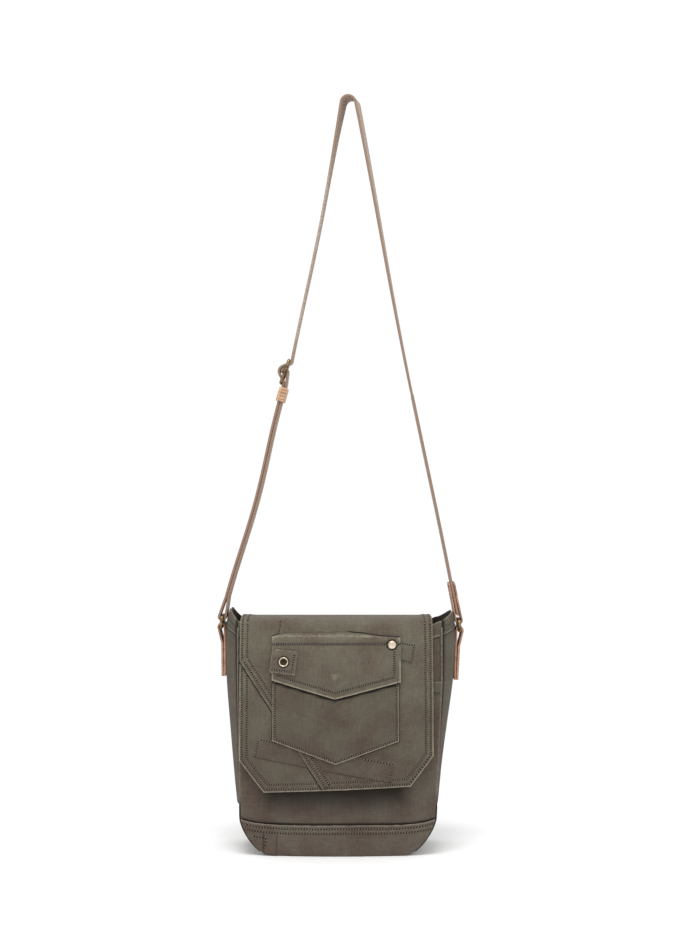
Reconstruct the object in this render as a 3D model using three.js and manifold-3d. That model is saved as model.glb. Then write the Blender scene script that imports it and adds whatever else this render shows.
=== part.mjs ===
// Canvas shoulder bag with a flap, held up by its strap.
// Millimetres. X is the bag's width, Y runs from its front to its back and Z is up.
// The bag is laid out with its base on Z = 0, and the finished group is then moved so that the
// origin lies on the underside of the strap's top, where the bag hangs.

import * as THREE from 'three';
import { mergeVertices } from 'three/addons/utils/BufferGeometryUtils.js';
import Module from 'manifold-3d';

const wasm = await Module();
wasm.setup();

// Cloth, leather and the clearance between neighbouring pieces
const canvasThickness = 2;
const pocketCloth = 1.5;
const flapCloth = 2.4;
const patchCloth = 1;
const flapPocketCloth = 1.2;
const webbing = 2.4;
const leather = 2;
const endLeather = 1.4; // thinner leather sewn over the strap's end
const gap = 0.3;

// Body
const bodyHeight = 226;
const backDrop = 2.5; // the back rim lies lower than the front rim
const rimWidth = 200;
const baseWidth = 188; // between the sides, if the lower corners were square
const baseShift = 2.2; // the foot of the bag lies a little left of its rim
const rimDepth = 74;
const baseDepth = 84;
const cornerWidth = 19;
const cornerHeight = 36;
const cornerPower = 1.5;
const wallRow = 22.6; // height of the rows that the walls are bent in
const widestShare = 0.75; // the sides lean out up to this share of the height
const frontCrown = 9;
const backCrown = 4;
const gussetSpread = 13.5; // how far the gussets belly out past the panels
const gussetFullness = 1.3; // power of the belly's fall towards its seams
const liftPower = 4; // the rim's lift at the sides fades quickly down the gusset
const tabMargin = 1; // flat part of a gusset beside its leather tab
const gussetSeam = 47; // height of the seam between gusset and bottom strip
const seamOverlap = 6;
const hemHeight = 13;
const hemRelief = 0.6;
const pocketHeight = 169;
const bandHeight = 30;

// Flap
const flapWidth = 187.5;
const flapTopWidth = 184.8;
const flapDrop = 162.2; // from the front fold to the lowest corner
const flapShift = -3.9; // its centre line lies left of the body's
const foldHeight = bodyHeight - 1;
const domeHeight = 5.2;
const domePower = 2.7;
const flapStandoff = 8; // between the body's front and the flap's lower edge
const backOverlap = 26;
const seamWidth = 10; // the felled seam across the flap
const stripLength = 136;
const stripWidth = 20;
const stripTilt = THREE.MathUtils.degToRad(10.5);
const flapPocketWidth = 122.1;
const pocketFlapWidth = 124;
const pocketPuff = 1.6;
const puffLean = 0.8; // below 1, the pocket is fullest above its middle
const pocketRidge = 1.3; // along the seam of the pocket's flap
const ridgeEnd = 0.16; // share of the pocket flap's height
const overlapStart = 0.02; // where it rises from the flap on to the pocket
const overlapEnd = 0.22;
const edgePuff = 0.35; // share of the pocket's puff at the ends of its flap
const puffRise = 1.6; // how fast the puff grows down the pocket's flap
const eyeletTabWidth = 25;
const eyeletTabHeight = 23;
const eyeletTabTilt = THREE.MathUtils.degToRad(7);
const eyeletWidth = 9.5;
const eyeletHole = 5.5;
const eyeletBarrel = 7;
const eyeletFlange = 1.1;
const rivetWidth = 8.4;
const rivetHeight = 1.7;

// Strap and fittings
const strapWidth = 30;
const strapTop = 741.6; // centre of the bend at the top of the strap
const strapTopAcross = 10.3;
const strapTopBend = 7.2; // radius of the webbing's middle
const strapTwist = THREE.MathUtils.degToRad(-9); // about the vertical, at the top
const strapTwistFade = { left: 45, right: 260 };
const ringWire = 3.5;
const ringHeight = 10; // between the middles of its long bars
const ringTilt = THREE.MathUtils.degToRad(4);
const ringCorner = 2.9;
const ringClear = 1; // between the strap's edge and the ring's short bar
const tabLength = 54; // from the foot of the tab to the middle of the ring
const tabLoop = 17; // length of the open loop round the ring
const loopSlack = 0.4; // between the tab's leather and the ring's bar
const endLeatherLength = 38;
const endWebbingStart = 14;
const sliderWire = 2.8;
const sliderHeight = 23.6;
const sliderTilt = THREE.MathUtils.degToRad(20);
const sliderAcross = -54.8;
const sliderCentre = 474.4;
const sliderCorner = 2.1;
const sliderClear = 0.7;
const tailLength = 1.5;
const strapLoop = 20; // length of the open loop round the left ring
const longestRun = 45; // between the points of a free run
const keeperLength = 14;
const keeperClear = 0.45;
const keeperDistance = 4; // below the slider's lowest bar
const rightBow = 2.6; // how far the strap's runs bow inward
const leftBow = 1.6;
const doubledBow = 3.2;

// Sections of the body up its height: share of the height, of the crown, and of the spread of the
// left and the right gusset
const bodySections = [
  { height: 0, crown: 0.55, left: 0, right: 0 },
  { height: 0.1, crown: 0.8, left: 0.1, right: 0.05 },
  { height: 0.2, crown: 0.95, left: 0.33, right: 0.22 },
  { height: 0.38, crown: 1, left: 0.56, right: 0.38 },
  { height: 0.56, crown: 0.98, left: 0.75, right: 0.64 },
  { height: 0.72, crown: 0.9, left: 0.91, right: 0.9 },
  { height: 0.87, crown: 0.72, left: 0.97, right: 1.04 },
  { height: 0.94, crown: 0.62, left: 0.92, right: 1.02 },
  { height: 1, crown: 0.55, left: 0.62, right: 0.84 },
];

// How far the flap stands off the front panel: share of the drop and of the standoff
const flapSections = [
  { drop: 0, stand: 0.22 },
  { drop: 0.12, stand: 0.32 },
  { drop: 0.3, stand: 0.46 },
  { drop: 0.5, stand: 0.5 },
  { drop: 0.72, stand: 0.62 },
  { drop: 0.88, stand: 0.82 },
  { drop: 1, stand: 1 },
];

// Lower outline of the flap, as shares of its width and its drop
const flapOutline = [
  { across: -0.5, drop: 0.811 },
  { across: -0.371, drop: 1 },
  { across: 0.38, drop: 0.965 },
  { across: 0.5, drop: 0.783 },
];

// Lower outlines of the flap's pocket and of the pocket's own flap: share of their own width,
// and of the flap's drop
const flapPocketOutline = [
  { across: -0.5, drop: 0.692 },
  { across: 0, drop: 0.831 },
  { across: 0.5, drop: 0.694 },
];
const pocketFlapOutline = [
  { across: -0.5, drop: 0.331 },
  { across: -0.01, drop: 0.441 },
  { across: 0.5, drop: 0.34 },
];

// Places on the flap, as shares of its width and its drop
const flapSpots = {
  flapPocket: { across: 0, drop: 0.14 },
  pocketFlap: { across: 0.003, drop: 0.068 },
  stripUpper: { across: 0.053, drop: 0.1 },
  stripLower: { across: -0.06, drop: 0.809 },
  seamStart: { across: -0.494, drop: 0.212 },
  seamEnd: { across: -0.086, drop: 0.972 },
};

// Places near the ends of the pocket's flap: side, distance in from that end, share of the drop
const endSpots = {
  eyelet: { side: -1, inset: 10.6, drop: 0.212 },
  rivet: { side: 1, inset: 7.8, drop: 0.112 },
};

// Section of the rivet's head, as shares of its radius and its height
const rivetSections = [
  { across: 0, height: 0 },
  { across: 1, height: 0 },
  { across: 1, height: 0.45 },
  { across: 0.85, height: 0.85 },
  { across: 0.5, height: 1 },
  { across: 0, height: 1 },
];

// The bag's two sides: the left one is pulled up a little further by the strap. The ring's level
// is that of its middle.
const sides = {
  left: { side: -1, spread: 'left', rimLift: 13.5, ringLevel: bodyHeight - 0.2 },
  right: { side: 1, spread: 'right', rimLift: 10.5, ringLevel: bodyHeight - 4 },
};

const colours = {
  canvas: 0x665f52,
  canvasFaded: 0x6e6859,
  leather: 0x8a6c57,
  webbing: 0xcfc1b1,
  brass: 0x9a7f4e,
  nickel: 0xd8ccbc,
};

const lerp = THREE.MathUtils.lerp;
const point2 = (x, y) => new THREE.Vector2(x, y);
const point3 = (x, y, z) => new THREE.Vector3(x, y, z);

// Even steps from one number to another, both ends included
function steps(from, to, count) {
  return Array.from({ length: count + 1 }, (_, i) => lerp(from, to, i / count));
}

// A smooth curve through a table's rows, read at one value of its first column
function tableAt(table, along, column, at) {
  const last = table.length - 2;
  const found = table.findIndex((row) => row[along] > at) - 1;
  const i = found < 0 ? (at < table[0][along] ? 0 : last) : Math.min(found, last);
  const [a, b] = [table[i], table[i + 1]];
  const width = b[along] - a[along];
  const slope = (j) => {
    const [p, q] = [table[Math.max(0, j - 1)], table[Math.min(table.length - 1, j + 1)]];
    return (q[column] - p[column]) / (q[along] - p[along]);
  };
  const t = THREE.MathUtils.clamp((at - a[along]) / width, 0, 1);
  const [t2, t3] = [t * t, t * t * t];
  return (
    (2 * t3 - 3 * t2 + 1) * a[column] +
    (t3 - 2 * t2 + t) * width * slope(i) +
    (3 * t2 - 2 * t3) * b[column] +
    (t3 - t2) * width * slope(i + 1)
  );
}

// Straight lines through a table's rows
function outlineAt(table, at) {
  const next = table.findIndex((row) => row.across > at);
  const i = next < 0 ? table.length - 2 : Math.max(0, next - 1);
  const [a, b] = [table[i], table[i + 1]];
  return lerp(a.drop, b.drop, (at - a.across) / (b.across - a.across));
}

function geometryFrom(positions, triangles) {
  const geometry = new THREE.BufferGeometry();
  geometry.setAttribute('position', new THREE.Float32BufferAttribute(positions, 3));
  geometry.setIndex(triangles);
  geometry.computeVertexNormals();
  return geometry;
}

// A wall of cloth: an outer and an inner surface over the same grid, closed along its edge.
// The outer surface faces the way of its first direction crossed with its second.
function slab(outer, inner, us, vs) {
  const positions = [];
  for (const surface of [outer, inner]) {
    for (const v of vs) for (const u of us) positions.push(...surface(u, v).toArray());
  }
  const [columns, rows] = [us.length, vs.length];
  const layer = columns * rows;
  const triangles = [];
  const quad = (a, b, c, d) => triangles.push(a, b, c, a, c, d);
  for (let j = 0; j < rows - 1; j++) {
    for (let i = 0; i < columns - 1; i++) {
      const a = j * columns + i;
      quad(a, a + 1, a + columns + 1, a + columns);
      quad(layer + a, layer + a + columns, layer + a + columns + 1, layer + a + 1);
    }
  }
  const rim = [];
  for (let i = 0; i < columns - 1; i++) rim.push(i);
  for (let j = 0; j < rows - 1; j++) rim.push(j * columns + columns - 1);
  for (let i = columns - 1; i > 0; i--) rim.push((rows - 1) * columns + i);
  for (let j = rows - 1; j > 0; j--) rim.push(j * columns);
  rim.forEach((a, k) => {
    const b = rim[(k + 1) % rim.length];
    quad(b, a, layer + a, layer + b);
  });
  return geometryFrom(positions, triangles);
}

// A bar swept along a chain of sections, each a ring of points; closed on itself or capped
function sweep(sections, isClosed) {
  const sidesCount = sections[0].length;
  const positions = sections.flat().flatMap((p) => p.toArray());
  const triangles = [];
  const runs = isClosed ? sections.length : sections.length - 1;
  for (let k = 0; k < runs; k++) {
    for (let i = 0; i < sidesCount; i++) {
      const j = (i + 1) % sidesCount;
      const next = (k + 1) % sections.length;
      const [a, b] = [k * sidesCount + i, k * sidesCount + j];
      const [c, d] = [next * sidesCount + j, next * sidesCount + i];
      triangles.push(a, b, c, a, c, d);
    }
  }
  if (!isClosed) {
    const last = (sections.length - 1) * sidesCount;
    for (let i = 1; i < sidesCount - 1; i++) {
      triangles.push(0, i + 1, i, last, last + i, last + i + 1);
    }
  }
  return geometryFrom(positions, triangles);
}

// Direction across a chain of points in a plane, lengthened at bends so that a wall keeps its width
function mitres(points, isClosed) {
  const count = points.length;
  return points.map((point, i) => {
    const before = isClosed ? points[(i + count - 1) % count] : points[Math.max(0, i - 1)];
    const after = isClosed ? points[(i + 1) % count] : points[Math.min(count - 1, i + 1)];
    const [first, second] = [point.clone().sub(before), after.clone().sub(point)];
    if (first.lengthSq() === 0) first.copy(second);
    if (second.lengthSq() === 0) second.copy(first);
    const along = first.normalize().clone().add(second.normalize()).normalize();
    const across = point2(-along.y, along.x);
    return across.divideScalar(Math.abs(along.dot(second)));
  });
}

function toManifold(geometry) {
  const bare = geometry.clone();
  bare.deleteAttribute('normal');
  bare.deleteAttribute('uv');
  const merged = mergeVertices(bare);
  return new wasm.Manifold(new wasm.Mesh({
    numProp: 3,
    vertProperties: new Float32Array(merged.attributes.position.array),
    triVerts: new Uint32Array(merged.index.array),
  }));
}

function fromManifold(solid) {
  const mesh = solid.getMesh();
  return geometryFrom(Array.from(mesh.vertProperties), Array.from(mesh.triVerts));
}

const bag = new THREE.Group();

function addMesh(name, geometry, colour, roughness, metalness = 0) {
  const material = new THREE.MeshStandardMaterial({ color: colour, roughness, metalness });
  const mesh = new THREE.Mesh(geometry, material);
  mesh.name = name;
  bag.add(mesh);
  return mesh;
}

const addCanvas = (name, geometry) => addMesh(name, geometry, colours.canvas, 0.92);
const addFaded = (name, geometry) => addMesh(name, geometry, colours.canvasFaded, 0.92);
const addLeather = (name, geometry) => addMesh(name, geometry, colours.leather, 0.6);

// Half of the front panel's width at a height, with its rounded lower corners
function halfWidth(z) {
  const lean = Math.min(1, z / (widestShare * bodyHeight));
  const low = Math.max(0, 1 - z / cornerHeight);
  const cut = cornerWidth * (1 - (1 - low ** cornerPower) ** (1 / cornerPower));
  return lerp(baseWidth, rimWidth, lean) / 2 - cut;
}

// Middle of the body's width at a height
const bodyMiddle = (z) => -baseShift * Math.max(0, 1 - z / (widestShare * bodyHeight));

const halfDepth = (z) => lerp(baseDepth, rimDepth, z / bodyHeight) / 2;

// How far the body's outer front (side -1) or back (side 1) lies from its middle plane
function faceDepth(side, x, z) {
  const crown = side < 0 ? frontCrown : backCrown;
  const across = Math.min(1, Math.abs(x - bodyMiddle(z)) / halfWidth(z));
  const share = tableAt(bodySections, 'height', 'crown', z / bodyHeight);
  return halfDepth(z) + crown * share * (1 - across ** 2);
}

const gussetFlat = strapWidth / 2 + tabMargin;
const wallColumns = steps(-1, 1, 12);

// Rows up a panel, close together round its lower corners
function panelRows(top) {
  const corner = steps(0, Math.PI / 2, 6).map((turn) => cornerHeight * (1 - Math.cos(turn)));
  const low = corner.filter((z) => z < Math.min(top, cornerHeight));
  if (top <= cornerHeight) return [...low, top];
  return [...low, ...steps(cornerHeight, top, Math.ceil((top - cornerHeight) / wallRow))];
}

// Rows with a step where a turned hem starts
function hemRows(rows, top) {
  const start = top - hemHeight;
  return [...rows.filter((z) => z < start - hemRelief), start - hemRelief, start, top];
}

const hemStep = (z, top) => (z > top - hemHeight - hemRelief / 2 ? hemRelief : 0);

// A layer of the body's front or back, from one depth outside the panel to another
function bodyLayer(side, top, inner, outer, hasHem) {
  const surface = (lift, relief) => (u, z) => {
    const x = bodyMiddle(z) - side * u * halfWidth(z);
    return point3(x, side * (faceDepth(side, x, z) + lift + relief * hemStep(z, top)), z);
  };
  const rows = hasHem ? hemRows(panelRows(top), top) : panelRows(top);
  return slab(surface(outer, hasHem ? 1 : 0), surface(inner, 0), wallColumns, rows);
}

const pocketOuter = gap + pocketCloth;
const bandOuter = pocketOuter + gap + pocketCloth;

addCanvas('front_panel', bodyLayer(-1, bodyHeight, -canvasThickness, 0, true));
addCanvas('back_panel', bodyLayer(1, bodyHeight - backDrop, -canvasThickness, 0, true));
addCanvas('front_pocket', bodyLayer(-1, pocketHeight, gap, pocketOuter, true));
addCanvas('base_band', bodyLayer(-1, bandHeight, pocketOuter + gap, bandOuter, false));

// How far a gusset bellies out, from none at its seams to all of it behind the tab
function gussetRise(y, edge) {
  return 1 - Math.max(0, (Math.abs(y) - gussetFlat) / (edge - gussetFlat)) ** gussetFullness;
}

// Outer face of a gusset: share of its width from front to back, and share of its height
function gussetPoint({ side, spread: column, rimLift }, across, up, lift) {
  const level = up * bodyHeight;
  const edge = halfDepth(level) - canvasThickness - gap;
  const y = across * edge;
  const rise = gussetRise(y, edge);
  const spread = gussetSpread * tableAt(bodySections, 'height', column, up) * rise;
  const drop = (backDrop * (across + 1)) / 2;
  const z = level + (rimLift * rise - drop) * up ** liftPower;
  return point3(bodyMiddle(level) + side * (halfWidth(level) + spread + lift), y, z);
}

function gusset(place) {
  const bottom = (gussetSeam + gap) / bodyHeight;
  const hemStart = 1 - hemHeight / bodyHeight;
  const hemEdge = hemStart - hemRelief / bodyHeight;
  const rows = [...steps(bottom, hemEdge, 9), hemStart, ...steps(hemStart, 1, 2).slice(1)];
  const outer = (v, up) => gussetPoint(place, place.side * v, up, up >= hemStart ? hemRelief : 0);
  const inner = (v, up) => gussetPoint(place, place.side * v, up, -canvasThickness);
  return slab(outer, inner, wallColumns, rows);
}

addCanvas('gusset_left', gusset(sides.left));
addCanvas('gusset_right', gusset(sides.right));

// The strip under the base, turned up both sides to run behind the gussets' lower edges
function bottomStrip() {
  const top = gussetSeam + seamOverlap;
  const side = [top, gussetSeam, ...panelRows(cornerHeight).reverse()];
  const flatWidth = halfWidth(0);
  const path = [
    ...side.map((z) => point2(bodyMiddle(z) - halfWidth(z), z)),
    ...steps(-flatWidth, flatWidth, 8).slice(1, -1).map((x) => point2(bodyMiddle(0) + x, 0)),
    ...side.reverse().map((z) => point2(bodyMiddle(z) + halfWidth(z), z)),
  ];
  const inward = mitres(path, false);
  const belly = (column, z, rise) => {
    const spread = gussetSpread * tableAt(bodySections, 'height', column, z / bodyHeight);
    return spread * rise - (canvasThickness + gap) * Math.min(1, z / gussetSeam);
  };
  const surface = (depth) => (k, v) => {
    const [at, normal] = [path[k], inward[k]];
    const x = at.x + normal.x * depth;
    const z = at.y + normal.y * depth;
    const facing = v < 0 ? -1 : 1;
    const edge = faceDepth(facing, x, z) - canvasThickness - gap;
    const column = normal.x > 0 ? 'left' : 'right';
    const out = at.y > 0 ? belly(column, at.y, gussetRise(v * edge, edge)) : 0;
    return point3(x - Math.sign(normal.x) * out, v * edge, z);
  };
  const indices = path.map((_, k) => k);
  return slab(surface(0), surface(canvasThickness), indices, steps(1, -1, 8));
}

addCanvas('bottom_strip', bottomStrip());

// Section of the flap's top, from the front fold over the open rim to the back
function domePoint(front, back, turn) {
  const share = (1 - Math.sign(Math.cos(turn)) * Math.abs(Math.cos(turn)) ** (2 / domePower)) / 2;
  const rise = domeHeight * Math.abs(Math.sin(turn)) ** (2 / domePower);
  return point3(front.x, lerp(front.y, back.y, share), lerp(front.z, back.z, share) + rise);
}

const frontFlapPoint = (x, s) => {
  const z = foldHeight - s;
  const stand = flapStandoff * tableAt(flapSections, 'drop', 'stand', s / flapDrop);
  return point3(x, -(faceDepth(-1, x, z) + stand), z);
};
const backFlapPoint = (x, s) => {
  const z = foldHeight - backDrop - s;
  return point3(x, faceDepth(1, x, z) + hemRelief + 3 * gap, z);
};

// Turns of the dome at even distances over it
const domeTurns = (() => {
  const turns = steps(0, Math.PI, 120);
  const points = turns.map((turn) => domePoint(frontFlapPoint(0, 0), backFlapPoint(0, 0), turn));
  let run = 0;
  return turns.map((turn, i) => {
    run += i ? points[i].distanceTo(points[i - 1]) : 0;
    return { run, turn };
  });
})();
const domeLength = domeTurns[domeTurns.length - 1].run;

// The flap's inner face: x across, and s down the front from the fold, or over the top if negative
function flapBase(x, s) {
  if (s >= 0) return frontFlapPoint(x, s);
  if (s <= -domeLength) return backFlapPoint(x, -s - domeLength);
  const next = domeTurns.findIndex((row) => row.run >= -s);
  const [a, b] = [domeTurns[next - 1], domeTurns[next]];
  const turn = lerp(a.turn, b.turn, (-s - a.run) / (b.run - a.run));
  return domePoint(frontFlapPoint(x, 0), backFlapPoint(x, 0), turn);
}

function flapNormal(x, s) {
  const reach = 0.4;
  const across = flapBase(x + reach, s).sub(flapBase(x - reach, s));
  const down = flapBase(x, s + reach).sub(flapBase(x, s - reach));
  return down.cross(across).normalize();
}

const flapPoint = (x, s, lift) => flapBase(x, s).addScaledVector(flapNormal(x, s), lift);

// Place on the flap of a spot given as shares of its width and drop
const flapSpot = ({ across, drop }) => point2(flapShift + across * flapWidth, drop * flapDrop);

const endSpot = ({ side, inset, drop }) => {
  const middle = flapSpot(flapSpots.pocketFlap).x;
  return point2(middle + side * (pocketFlapWidth / 2 - inset), drop * flapDrop);
};

// Columns across an outline: its corners, with even steps between them
function outlineColumns(outline, count) {
  const columns = outline.slice(1).flatMap((row, i) => {
    const from = outline[i].across;
    const parts = Math.max(1, Math.round((row.across - from) * count));
    return steps(from, row.across, parts).slice(1);
  });
  return [outline[0].across, ...columns];
}

function flap() {
  const place = (u, row) => {
    const drop = outlineAt(flapOutline, u) * flapDrop;
    const s = row < 0 ? row * (domeLength + backOverlap) : row * drop;
    const width = lerp(flapTopWidth, flapWidth, THREE.MathUtils.clamp(row, 0, 1));
    return [flapShift + u * width, s];
  };
  const dome = domeLength / (domeLength + backOverlap);
  const bend = dome / 9;
  const rows = [
    -1,
    -(1 + dome) / 2,
    ...steps(-dome, -dome + bend, 4),
    ...steps(-dome + bend, -bend, 3).slice(1, -1),
    ...steps(-bend, 0, 4),
    ...steps(0, 1, 11).slice(1),
  ];
  const surface = (lift) => (u, row) => flapPoint(...place(u, row), lift);
  return slab(surface(flapCloth), surface(0), outlineColumns(flapOutline, 9), rows.reverse());
}

addFaded('flap', flap());

// Layers on the flap, measured from its inner face
const patchInner = flapCloth + gap;
const patchOuter = patchInner + patchCloth;
const flapPocketInner = patchOuter + gap;
const flapPocketOuter = flapPocketInner + flapPocketCloth;
const pocketFlapOuter = gap + flapPocketCloth; // added to whatever lies under it

// A flat piece sewn on the flap, over four corners given as (x, s): top left, top right,
// bottom right, bottom left
function flapPatch(corners, inner, outer, columns, rows) {
  const [a, b, c, d] = corners;
  const surface = (lift) => (u, v) => {
    const at = a.clone().lerp(b, u).lerp(d.clone().lerp(c, u), v);
    return flapPoint(at.x, at.y, lift);
  };
  return slab(surface(outer), surface(inner), steps(0, 1, columns), steps(1, 0, rows));
}

// Corners of a tilted rectangle on the flap
function tiltedCorners(centre, width, height, tilt) {
  const along = point2(Math.cos(tilt), Math.sin(tilt)).multiplyScalar(width / 2);
  const down = point2(-Math.sin(tilt), Math.cos(tilt)).multiplyScalar(height / 2);
  return [[-1, -1], [1, -1], [1, 1], [-1, 1]].map(([u, v]) =>
    centre.clone().addScaledVector(along, u).addScaledVector(down, v));
}

// Where the line from a to b crosses the line from c to d
function crossing(a, b, c, d) {
  const [ab, cd] = [b.clone().sub(a), d.clone().sub(c)];
  return a.clone().addScaledVector(ab, c.clone().sub(a).cross(cd) / ab.cross(cd));
}

const seamStart = flapSpot(flapSpots.seamStart);
const seamEnd = flapSpot(flapSpots.seamEnd);
const seamRun = seamEnd.clone().sub(seamStart).normalize();
const seamAcross = point2(seamRun.y, -seamRun.x);
const beside = (at, distance) => at.clone().addScaledVector(seamAcross, distance);

const seamCorners = [seamStart, beside(seamStart, seamWidth), beside(seamEnd, seamWidth), seamEnd];
addFaded('diagonal_seam', flapPatch(seamCorners, patchInner, patchOuter, 1, 9));

const upperCorners = tiltedCorners(flapSpot(flapSpots.stripUpper), stripLength, stripWidth, stripTilt);
addFaded('patch_upper', flapPatch(upperCorners, patchInner, patchOuter, 16, 9));

// The lower strip stops at each side of the diagonal seam
const lowerCorners = tiltedCorners(flapSpot(flapSpots.stripLower), stripLength, stripWidth, stripTilt);
function stripCut(distance) {
  const line = [beside(seamStart, distance), beside(seamEnd, distance)];
  const [topLeft, topRight, bottomRight, bottomLeft] = lowerCorners;
  return [crossing(topLeft, topRight, ...line), crossing(bottomLeft, bottomRight, ...line)];
}
const leftCut = stripCut(-gap);
const rightCut = stripCut(seamWidth + gap);
const leftStrip = [lowerCorners[0], leftCut[0], leftCut[1], lowerCorners[3]];
const rightStrip = [rightCut[0], lowerCorners[1], lowerCorners[2], rightCut[1]];
addFaded('patch_lower_left', flapPatch(leftStrip, patchInner, patchOuter, 3, 2));
addFaded('patch_lower_right', flapPatch(rightStrip, patchInner, patchOuter, 6, 2));

// A pocket layer with a pointed foot: lifts are given for a place from left to right (-1 to 1)
// and from top to bottom (0 to 1)
function pointedLayer(spot, width, outline, thickness, liftAt, rows) {
  const top = flapSpot(spot);
  const surface = (extra) => (u, v) => {
    const s = lerp(top.y, outlineAt(outline, u) * flapDrop, v);
    return flapPoint(top.x + u * width, s, liftAt(2 * u, v) + extra);
  };
  return slab(surface(thickness), surface(0), outlineColumns(outline, 8), rows);
}

const puffAt = (u, v) => pocketPuff * (1 - u ** 2) * Math.sin(Math.PI * v ** puffLean);
addFaded('flap_pocket', pointedLayer(flapSpots.flapPocket, flapPocketWidth, flapPocketOutline,
  flapPocketCloth, (u, v) => flapPocketInner + puffAt(u, v), steps(1, 0, 8)));

// The pocket's flap rises over the pocket below it, with a ridge along its seam
function pocketFlapLift(u, v) {
  const over = THREE.MathUtils.smoothstep(v, overlapStart, overlapEnd);
  const ridge = pocketRidge * Math.sin(Math.PI * THREE.MathUtils.clamp(v / ridgeEnd, 0, 1));
  const low = flapPocketInner + ridge * (1 - u ** 2);
  const puff = pocketPuff * lerp(edgePuff, 1, 1 - u ** 2) * Math.min(1, puffRise * v);
  const high = flapPocketOuter + gap + puff;
  return lerp(low, high, over);
}
const pocketFlapRows = [1, 0.85, 0.65, 0.45, 0.3, 0.2, 0.13, 0.08, 0.04, 0];
addFaded('pocket_flap', pointedLayer(flapSpots.pocketFlap, pocketFlapWidth, pocketFlapOutline,
  flapPocketCloth, pocketFlapLift, pocketFlapRows));

const tabLift = flapPocketOuter + 2 * gap + flapPocketCloth + pocketPuff;

// Turns a round piece made about the Y axis to stand on the flap at a spot
function standOnFlap(geometry, spot, lift) {
  const normal = flapNormal(spot.x, spot.y);
  const turn = new THREE.Quaternion().setFromUnitVectors(point3(0, 1, 0), normal);
  geometry.applyQuaternion(turn);
  const at = flapPoint(spot.x, spot.y, lift);
  return geometry.translate(at.x, at.y, at.z);
}

function eyeletTab() {
  const spot = endSpot(endSpots.eyelet);
  const corners = tiltedCorners(spot, eyeletTabWidth, eyeletTabHeight, eyeletTabTilt);
  const tab = flapPatch(corners, tabLift, tabLift + flapPocketCloth, 4, 4);
  const radius = eyeletBarrel / 2 + gap;
  const cutter = new THREE.CylinderGeometry(radius, radius, 2 * eyeletBarrel, 16);
  const hole = standOnFlap(cutter, spot, tabLift);
  return fromManifold(toManifold(tab).subtract(toManifold(hole)));
}
addFaded('eyelet_tab', eyeletTab());

// Rolled rim over a short barrel, open through its middle
function eyelet() {
  const [hole, barrel, rim] = [eyeletHole / 2, eyeletBarrel / 2, eyeletWidth / 2];
  const base = flapPocketCloth + gap;
  const profile = [
    [hole, 0], [barrel, 0], [barrel, base], [rim, base], [rim, base + eyeletFlange / 2],
    [(rim + barrel) / 2, base + eyeletFlange], [(hole + barrel) / 2, base + eyeletFlange],
    [hole, base + eyeletFlange / 2], [hole, 0],
  ].map(([radius, height]) => point2(radius, height));
  return standOnFlap(new THREE.LatheGeometry(profile, 16), endSpot(endSpots.eyelet), tabLift);
}
addMesh('eyelet', eyelet(), colours.brass, 0.45, 1);

function rivet() {
  const radius = rivetWidth / 2;
  const profile = rivetSections.map(({ across, height }) =>
    point2(across * radius, height * rivetHeight));
  const spot = endSpot(endSpots.rivet);
  const own = flapSpot(flapSpots.pocketFlap);
  const [u, width] = [(spot.x - own.x) / pocketFlapWidth, pocketFlapWidth];
  const drop = outlineAt(pocketFlapOutline, u) * flapDrop;
  const v = (spot.y - own.y) / (drop - own.y);
  const slope = radius / width;
  const lift = Math.max(...[-slope, 0, slope].map((du) => pocketFlapLift(2 * (u + du), v)),
    pocketFlapLift(2 * u, v + radius / (drop - own.y)));
  return standOnFlap(new THREE.LatheGeometry(profile, 16), spot, lift + flapPocketCloth + 2 * gap);
}
addMesh('rivet', rivet(), colours.nickel, 0.35, 1);

// The middle of a strap: straight runs between rounds. Each round is a bar that the strap bends
// about, with its place, the radius of the strap's middle, and turn 1 if it goes anticlockwise.
function route(start, rounds, end, longestRun) {
  const all = [{ at: start, radius: 0, turn: 1 }, ...rounds, { at: end, radius: 0, turn: 1 }];
  const contact = all.slice(1).map((next, i) => {
    const from = all[i];
    const span = next.at.clone().sub(from.at);
    const lean = (next.radius * next.turn - from.radius * from.turn) / span.length();
    const heading = span.angle() - Math.asin(lean);
    const left = point2(-Math.sin(heading), Math.cos(heading));
    const touch = (round) => round.at.clone().addScaledVector(left, -round.radius * round.turn);
    return [touch(from), touch(next)];
  });
  const points = [];
  contact.forEach(([from, to], i) => {
    const runs = Math.max(1, Math.ceil(from.distanceTo(to) / longestRun));
    points.push(...steps(0, 1, runs).map((share) => from.clone().lerp(to, share)));
    const round = all[i + 1];
    if (i === contact.length - 1 || round.radius === 0) return;
    const begin = to.clone().sub(round.at).angle();
    const finish = contact[i + 1][0].clone().sub(round.at).angle();
    const sweepAngle = THREE.MathUtils.euclideanModulo((finish - begin) * round.turn, 2 * Math.PI);
    const parts = Math.ceil(sweepAngle / (Math.PI / 8));
    points.push(...steps(0, sweepAngle, parts).slice(1, -1).map((turned) => {
      const angle = begin + round.turn * turned;
      return point2(Math.cos(angle), Math.sin(angle)).multiplyScalar(round.radius).add(round.at);
    }));
  });
  const isNew = (p, i) => i === 0 || p.distanceTo(points[i - 1]) > 1e-6;
  return { points: points.filter(isNew), contact };
}

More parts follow.
